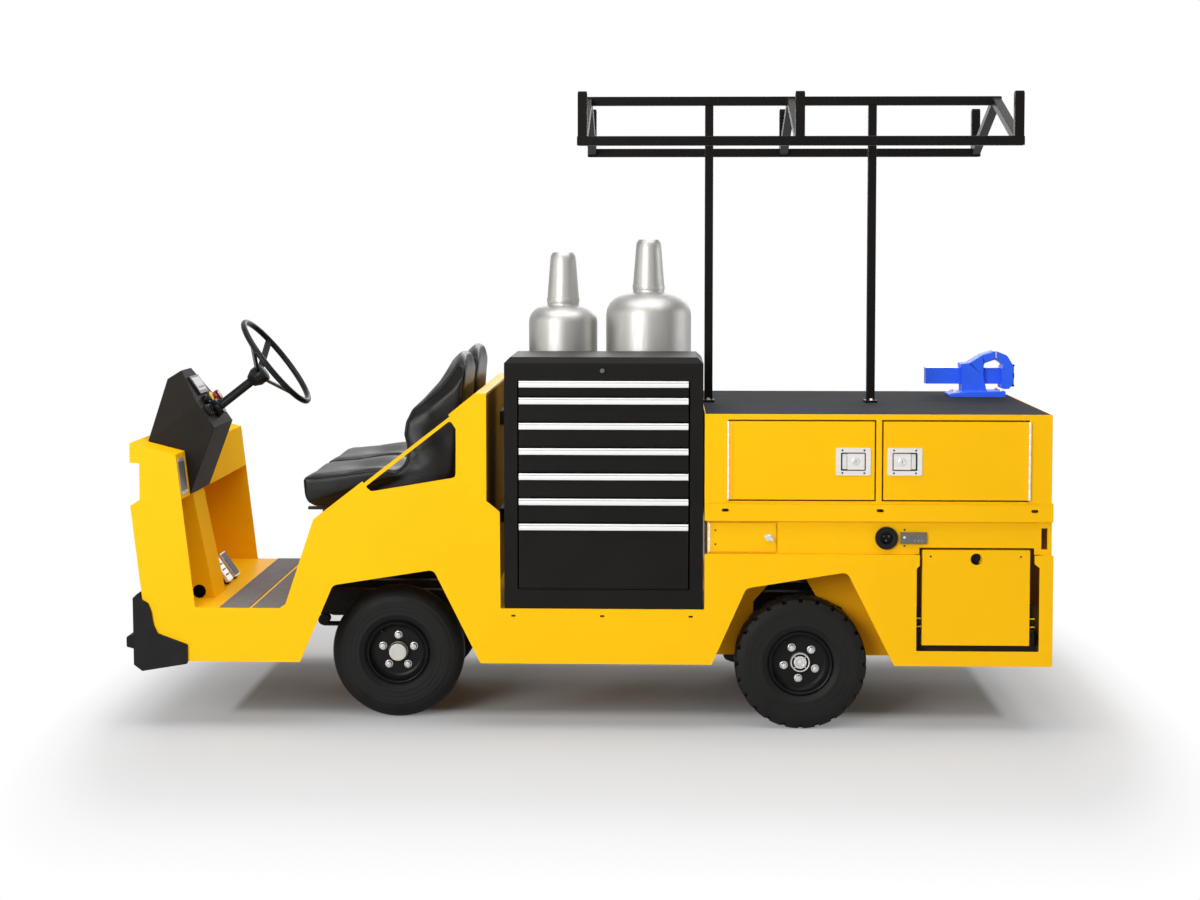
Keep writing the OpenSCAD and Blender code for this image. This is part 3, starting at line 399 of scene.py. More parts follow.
# Cabinet doors: paddle latches and piano hinges
LATCHES = [("front", 910, 1, 488), ("rear", 1084, -1, 1504)]
for side, s in (("left", -1), ("right", 1)):
    for end, x, w, hinge in LATCHES:
        body = f"door_{side}_{end}"
        at = side_at(s)
        bm = bmesh.new()
        add_ring(bm, rounded(x - 58.6, x + 58.6, 883.4, 976.6, 5), rounded(x - 42, x + 42, 899, 961, 4),
                 547.6, 551.0, at)
        piece(f"latch_plate_{side}_{end}", bm, stainless, body, edge=0.5)
        bm = bmesh.new()
        add_ring(bm, rounded(x - 42.1, x + 42.1, 898.9, 961.1, 4), rounded(x - 39, x + 39, 902, 958, 3),
                 541.2, 550.2, at)
        add_box(bm, (x - 41.5, min(s * 540.7, s * 541.4), 899.5), (x + 41.5, max(s * 540.7, s * 541.4), 960.5))
        piece(f"latch_pan_{side}_{end}", bm, black_and_painted_shade, body, edge=0.2)
        bm = bmesh.new()
        pad = (x - 20.4, x + 38.4) if w == 1 else (x - 38.4, x + 20.4)
        add_prism(bm, rounded(pad[0], pad[1], 902.6, 957.4, 2), 541.3, 548.9, at)
        well = (x - 37.4, x - 21.6) if w == 1 else (x + 21.6, x + 37.4)
        add_prism(bm, rounded(well[0], well[1], 903.6, 956.4, 2), 541.3, 545.0, at)
        piece(f"latch_paddle_{side}_{end}", bm, stainless, body, edge=0.7)
        bm = bmesh.new()
        cx = x + 9 * w
        add_lathe(bm, [(0, 0), (13, 0), (13, 1.6), (11.6, 2.2), (11.2, 1.5), (10.8, 2.2), (0, 2.4)],
                  (cx, s * 548.8, 930), (0, s, 0))
        piece(f"latch_lock_{side}_{end}", bm, zinc, body, edge=0.15)
        bm = bmesh.new()
        add_box(bm, (cx - 0.9, min(s * 551.0, s * 551.4), 925), (cx + 0.9, max(s * 551.0, s * 551.4), 935))
        for dx in (-37, 37):
            for z in (891.5, 968.5):
                add_lathe(bm, [(0, -0.2), (3.3, -0.2), (3.3, 0.5), (1.6, 0.7), (1.2, 0.2), (0, 0.2)],
                          (x + dx, s * 551.0, z), (0, s, 0), 16)
        piece(f"latch_screws_{side}_{end}", bm, black_and_painted_shade, body, edge=0)
        bm = bmesh.new()
        for k in range(7):
            low = 800 + 38 * k
            add_lathe(bm, [(0, 0.4), (4.3, 0.4), (4.45, 0.8), (4.45, 37.2), (4.3, 37.6), (0, 37.6)],
                      (hinge, s * 550.3, low), (0, 0, 1), 20)
        piece(f"piano_hinge_{side}_{end}", bm, stainless, body, edge=0.2)

# Service door: hinge, two screws, a wing knob and the rebate behind it
KNOB_X, KNOB_Z = 627, 669
bm = bmesh.new()
for k in range(4):
    low = 620 + 24.5 * k
    add_lathe(bm, [(0, 0.3), (3.2, 0.3), (3.35, 0.6), (3.35, 23.9), (3.2, 24.2), (0, 24.2)],
              (424, -539.3, low), (0, 0, 1), 20)
piece("service_hinge", bm, aluminium, "service_door", edge=0.1)
bm = bmesh.new()
for z in (645, 693):
    screw(bm, (445, -538, z), (0, -1, 0), 3.2, 1.0)
piece("service_screws", bm, black_and_painted_shade, "service_door", edge=0)
bm = bmesh.new()
add_lathe(bm, [(0, 0), (13, 0), (13, 2), (9.6, 3), (9.4, 11.2), (7.5, 12.6), (0, 12.8)],
          (KNOB_X, -538, KNOB_Z), (0, -1, 0))
turn = Matrix.Rotation(radians(28), 3, "Y")
wing = [(-17, -3.2), (-15, -5.4), (-8, -4.4), (8, -4.4), (15, -5.4), (17, -3.2), (17, 3.2), (15, 5.4), (8, 4.4),
        (-8, 4.4), (-15, 5.4), (-17, 3.2)]
add_prism(bm, wing, 546, 553, lambda u, v, w: Vector((KNOB_X, 0, KNOB_Z)) + turn @ Vector((u, -w, v)))
piece("service_knob", bm, zinc, "service_door", edge=0.8)
bm = bmesh.new()
at = side_at(-1)
add_ring(bm, rounded(422, 659, 612, 726, 2, 1), rounded(436, 645, 626, 712, 2, 1), 529.5, 531.8, at)
piece("service_rebate", bm, yellow, edge=0)

# Sill slots: a dark plate behind each, painted shade for their depth
for side, s in (("left", -1), ("right", 1)):
    bm = bmesh.new()
    for x in (-243, 60, 362):
        add_prism(bm, rounded(x - 9, x + 9, 392, 403, 2), 543.0, 545.9, side_at(s))
    piece(f"sill_slot_painted_shade_{side}", bm, black_and_painted_shade, edge=0)

# Charge socket with its pins, and the indicator panel with lights and screws
SOCKET_X, SOCKET_Z = 1025, 669
bm = bmesh.new()
add_lathe(bm, [(22.4, -29.5), (22.4, 9.0), (24.5, 10.6), (28.5, 10.6), (29.5, 9.6), (33, 9.6), (34, 11), (37.4, 11),
               (38.6, 9.8), (38.6, 0.1)], (SOCKET_X, -536, SOCKET_Z), (0, -1, 0), 56)
piece("socket_rings", bm, control_plastic, edge=0, smooth=40)
bm = bmesh.new()
for dx, dz in ((-9, 5), (9, 5), (0, -10)):
    add_lathe(bm, [(0, 14), (2.6, 14), (3.4, 13), (3.4, 0), (0, 0)],
              (SOCKET_X + dx, -516.5, SOCKET_Z + dz), (0, -1, 0), 16)
piece("socket_pins", bm, panel_grey, edge=0)
bm = bmesh.new()
at = side_at(-1)
add_prism(bm, rounded(1071.6, 1160.4, 649.6, 689.4, 5), 542.4, 544.2, at)
piece("indicator_face", bm, panel_grey, edge=0.5)
LIGHTS = [(led_white, [(1085, 672, 4.2)]), (led_red, [(1108, 674, 1.8), (1122, 674, 1.8), (1096, 660, 1.8)]),
          (led_green, [(1136, 674, 1.8), (1108, 660, 1.8)]),
          (led_white, [(1120, 660, 1.5), (1132, 660, 1.5), (1144, 660, 1.5)])]
for i, (mat, spots) in enumerate(LIGHTS):
    bm = bmesh.new()
    for x, z, r in spots:
        add_lathe(bm, [(0, 1.0), (r * 0.7, 0.8), (r, 0), (r, -0.4), (0, -0.4)], (x, -544.2, z), (0, -1, 0), 16)
    piece(f"indicator_lights_{i}", bm, mat, edge=0)
bm = bmesh.new()
for x, z in ((1086, 697), (1086, 642)):
    screw(bm, (x, -536, z), (0, -1, 0), 3.4, 1.0)
piece("indicator_screws", bm, black_and_painted_shade, edge=0)

# Battery ends: dark discs for two small holes and a dark lining in the round hole, painted shade for their depth,
# and rollers in guides and brackets beside it
ROLLERS_X = (1137, 1521)
for side, s in (("left", -1), ("right", 1)):
    at = side_at(s)
    bm = bmesh.new()
    for x in (1175, 1479):
        add_lathe(bm, [(0, 0.2), (3.6, 0.25), (3.6, -0.3), (0, -0.3)], (x, s * 540, 607), (0, s, 0), 16)
    add_lathe(bm, [(0, -29.4), (18.7, -29.4), (18.7, 0.2), (19.6, 0.3), (19.6, -0.2)],
              (1329, s * 540, 598), (0, s, 0), 32)
    piece(f"battery_holes_painted_shade_{side}", bm, black_and_painted_shade, edge=0)
    bm = bmesh.new()
    for x in ROLLERS_X:
        for z in (352, 384):
            add_lathe(bm, [(0, -5), (7.4, -5), (8, -4), (8, 4), (7.4, 5), (0, 5)], (x, s * 531, z), (0, 0, 1), 20)
        add_box(bm, (x - 8, min(s * 505, s * 524), 303), (x + 8, max(s * 505, s * 524), 440))
    piece(f"battery_rollers_{side}", bm, bumper_plastic, edge=0.6)
    bm = bmesh.new()
    for x in ROLLERS_X:
        for z in (364, 392):
            add_box(bm, (x - 8.6, min(s * 522, s * 534), z), (x + 8.6, max(s * 522, s * 534), z + 3))
    piece(f"battery_brackets_{side}", bm, yellow, edge=0.3)

# Band slots: a raised rim round each
for side, s in (("left", -1), ("right", 1)):
    at = side_at(s)
    bm = bmesh.new()
    for x in (478, 1002, 1522):
        add_ring(bm, rounded(x - 15.5, x + 15.5, 754.5, 772.5, 6), rounded(x - 11.5, x + 11.5, 758.5, 768.5, 4),
                 549.4, 550.6, at)
    piece(f"slot_rims_{side}", bm, yellow, edge=0.4)

# Console: display, key switch, rockers, stop button, the column's boot and cheek screws
FOOT, TOP = Vector((-1294, 0, 1026)), Vector((-1426, 0, 1221))
UP = (TOP - FOOT).normalized()
OUT = Vector((UP.z, 0, -UP.x))
DRIVER_Y = -260
STEER_TILT = radians(38)
STEER_AXIS = Vector((cos(STEER_TILT), 0, sin(STEER_TILT)))
KEY = (44, 104)
STOP = (-86, 100)


def on_face(u, v, w):
    """A place on the console's face: u to the near side, v up the face, w out of it."""
    return FOOT + Vector((0, DRIVER_Y - u, 0)) + UP * v + OUT * w


bm = bmesh.new()
add_prism(bm, rounded(-66.6, 66.6, 129.4, 202.6, 6), 0.1, 9.0, on_face)
piece("display_case", bm, control_plastic, edge=1.2)
bm = bmesh.new()
add_prism(bm, rounded(-56, 56, 142, 194, 3), 8.6, 9.6, on_face)
piece("display_screen", bm, screen, edge=0.3)
bm = bmesh.new()
for k in range(6):
    add_prism(bm, rounded(-46 + 15 * k, -34 + 15 * k, 150, 158, 1), 9.4, 9.9, on_face)
piece("display_bars", bm, panel_grey, edge=0.1)
bm = bmesh.new()
add_ring(bm, circle(*KEY, 15.5), circle(*KEY, 12.2), 0.1, 15.0, on_face)
piece("key_ring", bm, control_plastic, edge=1.0)
bm = bmesh.new()
add_prism(bm, circle(*KEY, 12.2), 8, 14.6, on_face)
add_prism(bm, rounded(41.5, 46.5, 94, 114, 2), 14.4, 26, on_face)
piece("key_switch", bm, chassis_paint, edge=0.6)
bm = bmesh.new()
for u in (60, 92):
    add_ring(bm, rounded(u - 2, u + 24, 46, 84, 3), rounded(u + 1, u + 21, 49, 81, 2), 0.1, 11, on_face)
    add_prism(bm, [(49.5, 5), (49.5, 10), (65, 13.5), (80.5, 16), (80.5, 5)], u + 1.6, u + 20.4,
              lambda p, q, w: on_face(w, p, q))
piece("switches", bm, control_plastic, edge=0.6)
bm = bmesh.new()
add_lathe(bm, [(0, 31.5), (8, 31), (15, 29), (19.5, 25.5), (20.6, 21), (20.6, 15.5), (18, 13.8), (11.6, 13.4),
               (11.6, 9)], on_face(*STOP, 0), OUT, 40)
piece("stop_button", bm, stop_red, edge=0, smooth=50)
bm = bmesh.new()
add_lathe(bm, [(11.2, 0.1), (27, 0.1), (28, 1), (28, 3.6), (26.5, 5), (20, 5.6), (17, 9.4), (11.2, 9.8)],
          on_face(*STOP, 0), OUT, 40)
piece("stop_base", bm, ring_yellow, edge=0, smooth=50)
bm = bmesh.new()
add_lathe(bm, [(31, 0), (31, 8), (28, 14), (30, 20), (26, 26), (28, 32), (23, 40), (17, 46), (16.4, 50)],
          on_face(0, 62, -14), STEER_AXIS, 40)
piece("column_boot", bm, control_plastic, edge=0, smooth=60)
tree = BVHTree.FromObject(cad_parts["console"], bpy.context.evaluated_depsgraph_get())
bm = bmesh.new()
for x, z in ((-1462, 1166), (-1404, 1096), (-1345, 1022), (-1394, 862), (-1500, 985)):
    for y, d in ((-0.6, 1), (0.1, -1)):
        spot, normal, _, _ = tree.ray_cast(Vector((x * MM, y, z * MM)), Vector((0, d, 0)))
        if spot is not None:
            screw(bm, spot / MM, normal, 4.2, 1.6)
piece("console_screws", bm, black_and_painted_shade, edge=0)

# Bare plate on the dash, and the pedals' frames, pads and ribs
DASH_UP = Vector((-1399 + 1381, 0, 945 - 791)).normalized()
DASH_OUT = Vector((DASH_UP.z, 0, -DASH_UP.x))


def on_dash(u, v, w):
    return Vector((-1381, u, 791)) + DASH_UP * v + DASH_OUT * w


bm = bmesh.new()
add_prism(bm, rounded(-536, -440, 14, 138, 4), 0.05, 1.4, on_dash)
piece("dash_plate", bm, bare_plate, edge=0.3)
bm = bmesh.new()
add_prism(bm, rounded(-529, -447, 26, 126, 2), 1.3, 1.9, on_dash)
piece("dash_plate_inset", bm, panel_grey, edge=0.2)
bm = bmesh.new()
for u in (-530, -446):
    for v in (20, 132):
        add_lathe(bm, [(0, 1.6), (2.2, 1.2), (3, 0), (0, 0)], on_dash(u, v, 1.3), DASH_OUT, 16)
piece("dash_plate_rivets", bm, zinc, edge=0)
PEDAL_UP = Vector((-58, 0, 82)).normalized()
PEDAL_OUT = Vector((PEDAL_UP.z, 0, -PEDAL_UP.x))


def on_pedal(y):
    """Outlines on the pedal whose left edge is at y."""
    return lambda u, v, w: Vector((-1318, y + 41 + u, 432)) + PEDAL_UP * v + PEDAL_OUT * w


for i, y in enumerate((-90, 30)):
    bm = bmesh.new()
    at = on_pedal(y)
    add_ring(bm, rounded(-41.6, 41.6, -0.8, 101, 4), rounded(-34, 34, 7, 93, 6), -8.4, 1.0, at)
    piece(f"pedal_frame_{i}", bm, stainless, edge=0.6)
    bm = bmesh.new()
    add_prism(bm, rounded(-38, 38, 3, 97, 8), 0.1, 2.0, at)
    piece(f"pedal_pad_{i}", bm, aluminium if i == 0 else wheel_grip, edge=0.6)
    bm = bmesh.new()
    for k in range(3):
        add_prism(bm, rounded(-26, 26, 22 + 22 * k, 28 + 22 * k, 3), 1.8, 2.8, at)
    piece(f"pedal_ribs_{i}", bm, control_plastic, edge=0.5)

# Post: a dark lining in the hole at its foot, painted shade for its depth
bm = bmesh.new()
add_lathe(bm, [(0, -53), (21.6, -53), (21.6, -0.4), (22.6, 0.4), (23.6, 0.4), (23.6, -0.2)],
          (-1366, -354, 442), (0, -1, 0), 40)
piece("post_hole_painted_shade", bm, black_and_painted_shade, edge=0, smooth=50)

# Steering wheel's cap
bm = bmesh.new()
add_lathe(bm, [(0, 25), (14, 24.5), (24, 22), (30, 18), (30, 17)], (-1163, DRIVER_Y, 1202), STEER_AXIS, 48)
piece("steering_cap", bm, control_plastic, "steering", edge=0, smooth=50)

# Headlamps and tail lamps: a bright rim in front and a dark one behind
for side, s in (("left", -1), ("right", 1)):
    bm = bmesh.new()
    add_lathe(bm, [(48.4, -4), (52, -4), (53, 6), (52, 24), (49, 31.5), (46, 32), (45.5, 30.2)],
              (-1524, s * 330, 852), (-1, 0, 0), 56)
    piece(f"headlamp_rim_{side}", bm, aluminium, edge=0, smooth=40)
    bm = bmesh.new()
    add_lathe(bm, [(38.2, -4), (41, -4), (41.5, 2), (40, 5.4), (36.5, 5.6), (36, 4.2)],
              (1587, s * 430, 668), (1, 0, 0), 48)
    piece(f"tail_lamp_rim_{side}", bm, control_plastic, edge=0, smooth=40)

# Wheels: bolts, hubs or hub caps, and valves
BOLT_CIRCLE_R = 57.15
for wheel, (x, y, z) in WHEELS.items():
    s = -1 if "left" in wheel else 1
    front = "front" in wheel
    face = abs(y) / MM + (26 if front else 22)
    body = "wheel_" + wheel
    mid = Vector((x / MM, 0, z / MM))
    bm = bmesh.new()
    for k in range(5):
        a = radians((90 if front else 48) + 72 * k)
        foot = mid + Vector((BOLT_CIRCLE_R * cos(a), s * (face - 8), BOLT_CIRCLE_R * sin(a)))
        add_lathe(bm, [(0, 0), (14, 0), (14, 1.4), (12.6, 2.2), (11.2, 2.2)], foot, (0, s, 0), 32)
        add_lathe(bm, [(10.4, 2), (10.6, 2.2), (10.6, 13.4), (9.4, 14.6), (5, 15.2), (5, 16.6), (4, 17.6),
                       (0, 17.8)], foot, (0, s, 0), 6)
    piece("bolts_" + wheel, bm, zinc, body, edge=0.4)
    bm = bmesh.new()
    foot = mid + Vector((0, s * (face - 6), 0))
    if front:
        add_lathe(bm, [(34.4, 0), (34.6, 1), (34.6, 19), (33.5, 21.6), (30, 24.2), (24, 25.6), (0, 26.4)],
                  foot, (0, s, 0), 48)
        piece("hub_cap_" + wheel, bm, cap_paint, body, edge=0, smooth=40)
    else:
        add_lathe(bm, [(34.4, 0), (34.5, 10), (32.5, 12.4), (30, 12.5), (28.5, 11.6), (22, 11.8), (20.5, 12.6),
                       (16.6, 12.6), (15.6, 11.6), (15.6, 3.4), (0, 3.4)], foot, (0, s, 0), 48)
        piece("hub_" + wheel, bm, zinc, body, edge=0, smooth=40)
        bm = bmesh.new()
        add_lathe(bm, [(9, 3.2), (9.2, 3.4), (9.2, 8.6), (7.8, 9.6), (4.2, 9.8), (4, 11.4), (0, 11.6)],
                  foot, (0, s, 0), 6)
        for k in range(4):
            a = radians(45 + 90 * k)
            add_lathe(bm, [(0, 12.9), (2.2, 12.8), (2.4, 11.6), (0, 11.6)],
                      foot + Vector((25.2 * cos(a), 0, 25.2 * sin(a))), (0, s, 0), 12)
        piece("hub_nut_" + wheel, bm, zinc, body, edge=0.3)
    bm = bmesh.new()
    a = radians(126)
    spot = mid + Vector((92 * cos(a), s * (face - 5), 92 * sin(a)))
    add_lathe(bm, [(0, 0), (6, 0), (5.4, 5), (4, 8), (3.6, 20), (4.4, 20.5), (4.4, 27), (3.4, 28), (0, 28)],
              spot, (0, s, 0), 16)
    piece("valve_" + wheel, bm, control_plastic, body, edge=0)

# Vise: ground top of the slide, jaw plates, handle with the screw's collar, and base bolts
VX, VY, VZ = -16, 300, 1090
SLIDE_LOW, SLIDE_TOP = VZ + 107.8, VZ + 108.2
bm = bmesh.new()
for x0, x1 in ((1271.5, 1398), (1486, 1552)):
    add_box(bm, (VX + x0, VY - 24, SLIDE_LOW), (VX + x1, VY + 24, SLIDE_TOP))
piece("vise_slide_top", bm, stainless, "vise_slide", edge=0.1)
for name, x, body, d in (("fixed", 1527, "body", 1), ("moving", 1533, "vise_slide", -1)):
    bm = bmesh.new()
    teeth = [(x, 146), (x + 2.0 * d, 146)]
    for k in range(8):
        teeth += [(x + 1.6 * d, 147.5 + 3 * k), (x + 2.4 * d, 149 + 3 * k)]
    teeth += [(x + 2.0 * d, 172.6), (x - 6 * d, 172.6), (x - 6 * d, 171.8), (x, 171.8)]
    add_prism(bm, teeth, VY - 48.4, VY + 48.4, lambda u, v, w: Vector((VX + u, w, VZ + v)))
    piece(f"vise_jaw_{name}", bm, zinc, body, edge=0)
bm = bmesh.new()
add_lathe(bm, [(0, -42.5), (5, -42), (8, -39), (8, -36), (5.3, -34), (5.3, 34), (8, 36), (8, 39), (5, 42),
               (0, 42.5)], (VX + 1600, VY, VZ + 78), (0, 0, 1), 20)
add_lathe(bm, [(13.4, 0), (13.6, 1), (13.6, 13), (12, 15.2), (0, 15.3)], (VX + 1590, VY, VZ + 78), (1, 0, 0), 32)
piece("vise_handle", bm, rack_paint, "vise_slide", edge=0, smooth=45)
bm = bmesh.new()
for dx in (1378, 1548):
    for dy in (-50, 50):
        foot = (VX + dx, VY + dy, VZ + (15 if dx < 1400 else 22))
        add_lathe(bm, [(0, 0), (9, 0), (9, 1.4), (6.4, 1.5)], foot, (0, 0, 1), 24)
        add_lathe(bm, [(6.2, 1.4), (6.4, 1.6), (6.4, 6), (5.4, 7), (0, 7.2)], foot, (0, 0, 1), 6)
piece("vise_bolts", bm, zinc, edge=0.2)

# Rack: base bolts of the posts and plastic caps on the tubes' ends
bm = bmesh.new()
for x in (431, 1020):
    for y in (-31, 31):
        add_lathe(bm, [(0, 0), (8, 0), (8, 1.4), (6, 1.5)], (x, y, 1098), (0, 0, 1), 24)
        add_lathe(bm, [(6.0, 1.4), (6.2, 1.6), (6.2, 5.6), (5.2, 6.6), (0, 6.8)], (x, y, 1098), (0, 0, 1), 6)
piece("post_bolts", bm, zinc, edge=0.2)
bm = bmesh.new()
for x, d in ((-25, -1), (1480, 1)):
    for y, z in ((0, 2180), (-490, 2014), (490, 2014)):
        add_prism(bm, rounded(y - 15, y + 15, z - 15, z + 15, 3), x, x + 2.5 * d, along_x)
for x in (-9, 727.5, 1464):
    for y in (-490, 490):
        add_prism(bm, rounded(x - 15, x + 15, y - 15, y + 15, 3), 2178, 2181, lambda u, v, w: Vector((u, v, w)))
piece("tube_caps", bm, control_plastic, edge=0.6)

# Bay: a dark sheet on the back of the cab wall, painted shade for the shadowed bay
bm = bmesh.new()
add_box(bm, (-335, -540, 424), (-334.2, 540, 1150))
piece("bay_shade_sheet", bm, bay_painted_shade, edge=0)

# Gas bottles: neck rings and the straps that hold them. Each has its X, radius, cap's radius and neck's height.
BOTTLES = [(-109, 128, 59, 1434), (211, 159, 58, 1484)]
BOTTLE_Y = 205
for n, (x, r, cap, neck) in enumerate(BOTTLES):
    bm = bmesh.new()
    add_lathe(bm, [(cap - 1, 8), (cap + 1.5, 9), (cap + 2, 11), (cap + 2, 25), (cap + 1.5, 28), (cap - 1, 29)],
              (x, BOTTLE_Y, neck), (0, 0, 1), 48)
    piece(f"neck_ring_{n}", bm, bottle_steel, edge=0, smooth=40)
    bm = bmesh.new()
    for z in (690, 1052):
        add_lathe(bm, [(r + 0.1, 0), (r + 2.2, 0), (r + 2.2, 26), (r + 0.1, 26)], (x, BOTTLE_Y, z), (0, 0, 1), 56)
    piece(f"bottle_straps_{n}", bm, chassis_paint, edge=0.4)


# Seats: one padded form each, dished and tucked in, then swollen by a cloth simulation, with a welt along the edge

SEAT = [(-973, 802), (-977, 857), (-967, 867), (-914, 869), (-850, 876), (-789, 884), (-740, 890), (-699, 891),
        (-652, 883), (-634, 892), (-618, 914), (-612, 945), (-618, 975), (-624, 1007), (-616, 1050), (-596, 1092),
        (-560, 1130), (-510, 1190), (-466, 1260), (-452, 1284), (-436, 1294), (-420, 1283), (-416, 1256),
        (-420, 1200), (-424, 1123), (-436, 1000), (-444, 905), (-466, 830), (-498, 762), (-942, 762), (-964, 780)]
SEAT_HALF, SEAT_EDGE = 230, 12
SEAT_Y = 260
BACK_FRONT = SEAT[9:20]
# Shares of the width that the back's upper half, its front edges and the cushion's foot draw in
SLIM, BEVEL, TUCK = 0.085, 0.13, 0.075
# Depths of the dishes in the cushion's front, its rear and the back, and the drop at the back's upper corners
DISH_FRONT, DISH_REAR, DISH_BACK, CROWN = 4, 24, 17, 42
VOXEL, SWELL = 0.0075, 0.005
PRESSURE, FRAMES = 4.0, 20
WELT_R = 0.0022


def ease(t):
    t = min(1, max(0, t))
    return t * t * (3 - 2 * t)


def dense(line, step, closed=True):
    out = []
    for p, q in zip(line, line[1:] + line[:1] if closed else line[1:]):
        steps = max(1, int((Vector(q) - Vector(p)).length / step))
        out += [Vector(p).lerp(Vector(q), k / steps) for k in range(steps)]
    return out


def inset(line, d):
    """The closed outline moved inwards by d."""
    out = []
    for a, p, b in zip(line[-1:] + line[:-1], line, line[1:] + line[:1]):
        way = (b - a).normalized()
        out.append(p + d * Vector((way.y, -way.x)))
    return out


def front_of_back(z):
    for (x0, z0), (x1, z1) in zip(BACK_FRONT, BACK_FRONT[1:]):
        if z0 <= z <= z1:
            return x0 + (x1 - x0) * (z - z0) / (z1 - z0)
    return BACK_FRONT[0][0] if z < BACK_FRONT[0][1] else BACK_FRONT[-1][0]


def sculpt(p):
    """Millimetres in and out: draws in the back's upper half and the cushion's foot, and dishes both."""
    x, y, z = p
    t = y / SEAT_HALF
    mid = (1 + cos(pi * min(1, abs(t) / 0.8))) / 2
    behind = x - front_of_back(z)
    slim = SLIM * ease((z - 890) / 150)
    bevel = BEVEL * ease((z - 1030) / 120) * ease(1 - behind / 58)
    tuck = TUCK * ease((783 + 0.288 * (x + 940) - z) / 14) * ease((-600 - x) / 100)
    y *= 1 - slim - bevel - tuck
    if z > 835 and x < -612:
        z -= (DISH_FRONT + (DISH_REAR - DISH_FRONT) * ease((x + 900) / 120)) * mid * ease((z - 835) / 25)
    if z > 900 and behind < 60:
        x += DISH_BACK * mid * ease((z - 900) / 60) * ease((1275 - z) / 90) * ease(1 - behind / 60)
    z -= CROWN * abs(t) ** 3 * ease((z - 1080) / 200)
    return Vector((x, y, z))


def seat_form():
    """The side outline carried across, with rounded ends."""
    outline = dense(SEAT, 12)
    rows = [(-SEAT_HALF + SEAT_EDGE * (1 - sin(a)), SEAT_EDGE * (1 - cos(a)))
            for a in (radians(90 - 15 * k) for k in range(7))]
    rows = rows + [(0, 0)] + [(-y, d) for y, d in rows[::-1]]
    bm = bmesh.new()
    lines = [[bm.verts.new((p.x * MM, y * MM, p.y * MM)) for p in inset(outline, d)] for y, d in rows]
    n = len(outline)
    for a, b in zip(lines, lines[1:]):
        for i in range(n):
            bm.faces.new((a[i], a[(i + 1) % n], b[(i + 1) % n], b[i]))
    bm.faces.new(lines[0])
    bm.faces.new(lines[-1])
    bmesh.ops.recalc_face_normals(bm, faces=bm.faces)
    me = bpy.data.meshes.new("seat")
    bm.to_mesh(me)
    bm.free()
    ob = bpy.data.objects.new("seat", me)
    scene.collection.objects.link(ob)
    return ob


def puff(ob):
    """Voxel remesh and sculpt, then a short cloth run under pressure; no point moves further than SWELL."""
    mod = ob.modifiers.new("remesh", "REMESH")
    mod.mode = "VOXEL"
    mod.voxel_size = VOXEL
    ob.data = bpy.data.meshes.new_from_object(ob.evaluated_get(bpy.context.evaluated_depsgraph_get()))
    ob.modifiers.remove(mod)
    for v in ob.data.vertices:
        v.co = sculpt(v.co / MM) * MM
    rest = [v.co.copy() for v in ob.data.vertices]
    mod = ob.modifiers.new("puff", "CLOTH")
    mod.settings.use_pressure = True
    mod.settings.uniform_pressure_force = PRESSURE
    mod.settings.effector_weights.gravity = 0.0
    for f in range(1, FRAMES + 1):
        scene.frame_set(f)
    swollen = bpy.data.meshes.new_from_object(ob.evaluated_get(bpy.context.evaluated_depsgraph_get()))
    ob.modifiers.remove(mod)
    for v, r in zip(swollen.vertices, rest):
        d = v.co - r
        v.co = r + d * min(1, SWELL / max(d.length, 1e-9))
    ob.data = swollen
    scene.frame_set(1)


def relax(me, times):
    """Smooths the small wrinkles out."""
    bm = bmesh.new()
    bm.from_mesh(me)
    for _ in range(times):
        bmesh.ops.smooth_vert(bm, verts=bm.verts, factor=0.5, use_axis_x=True, use_axis_y=True, use_axis_z=True)
    bm.to_mesh(me)
    bm.free()


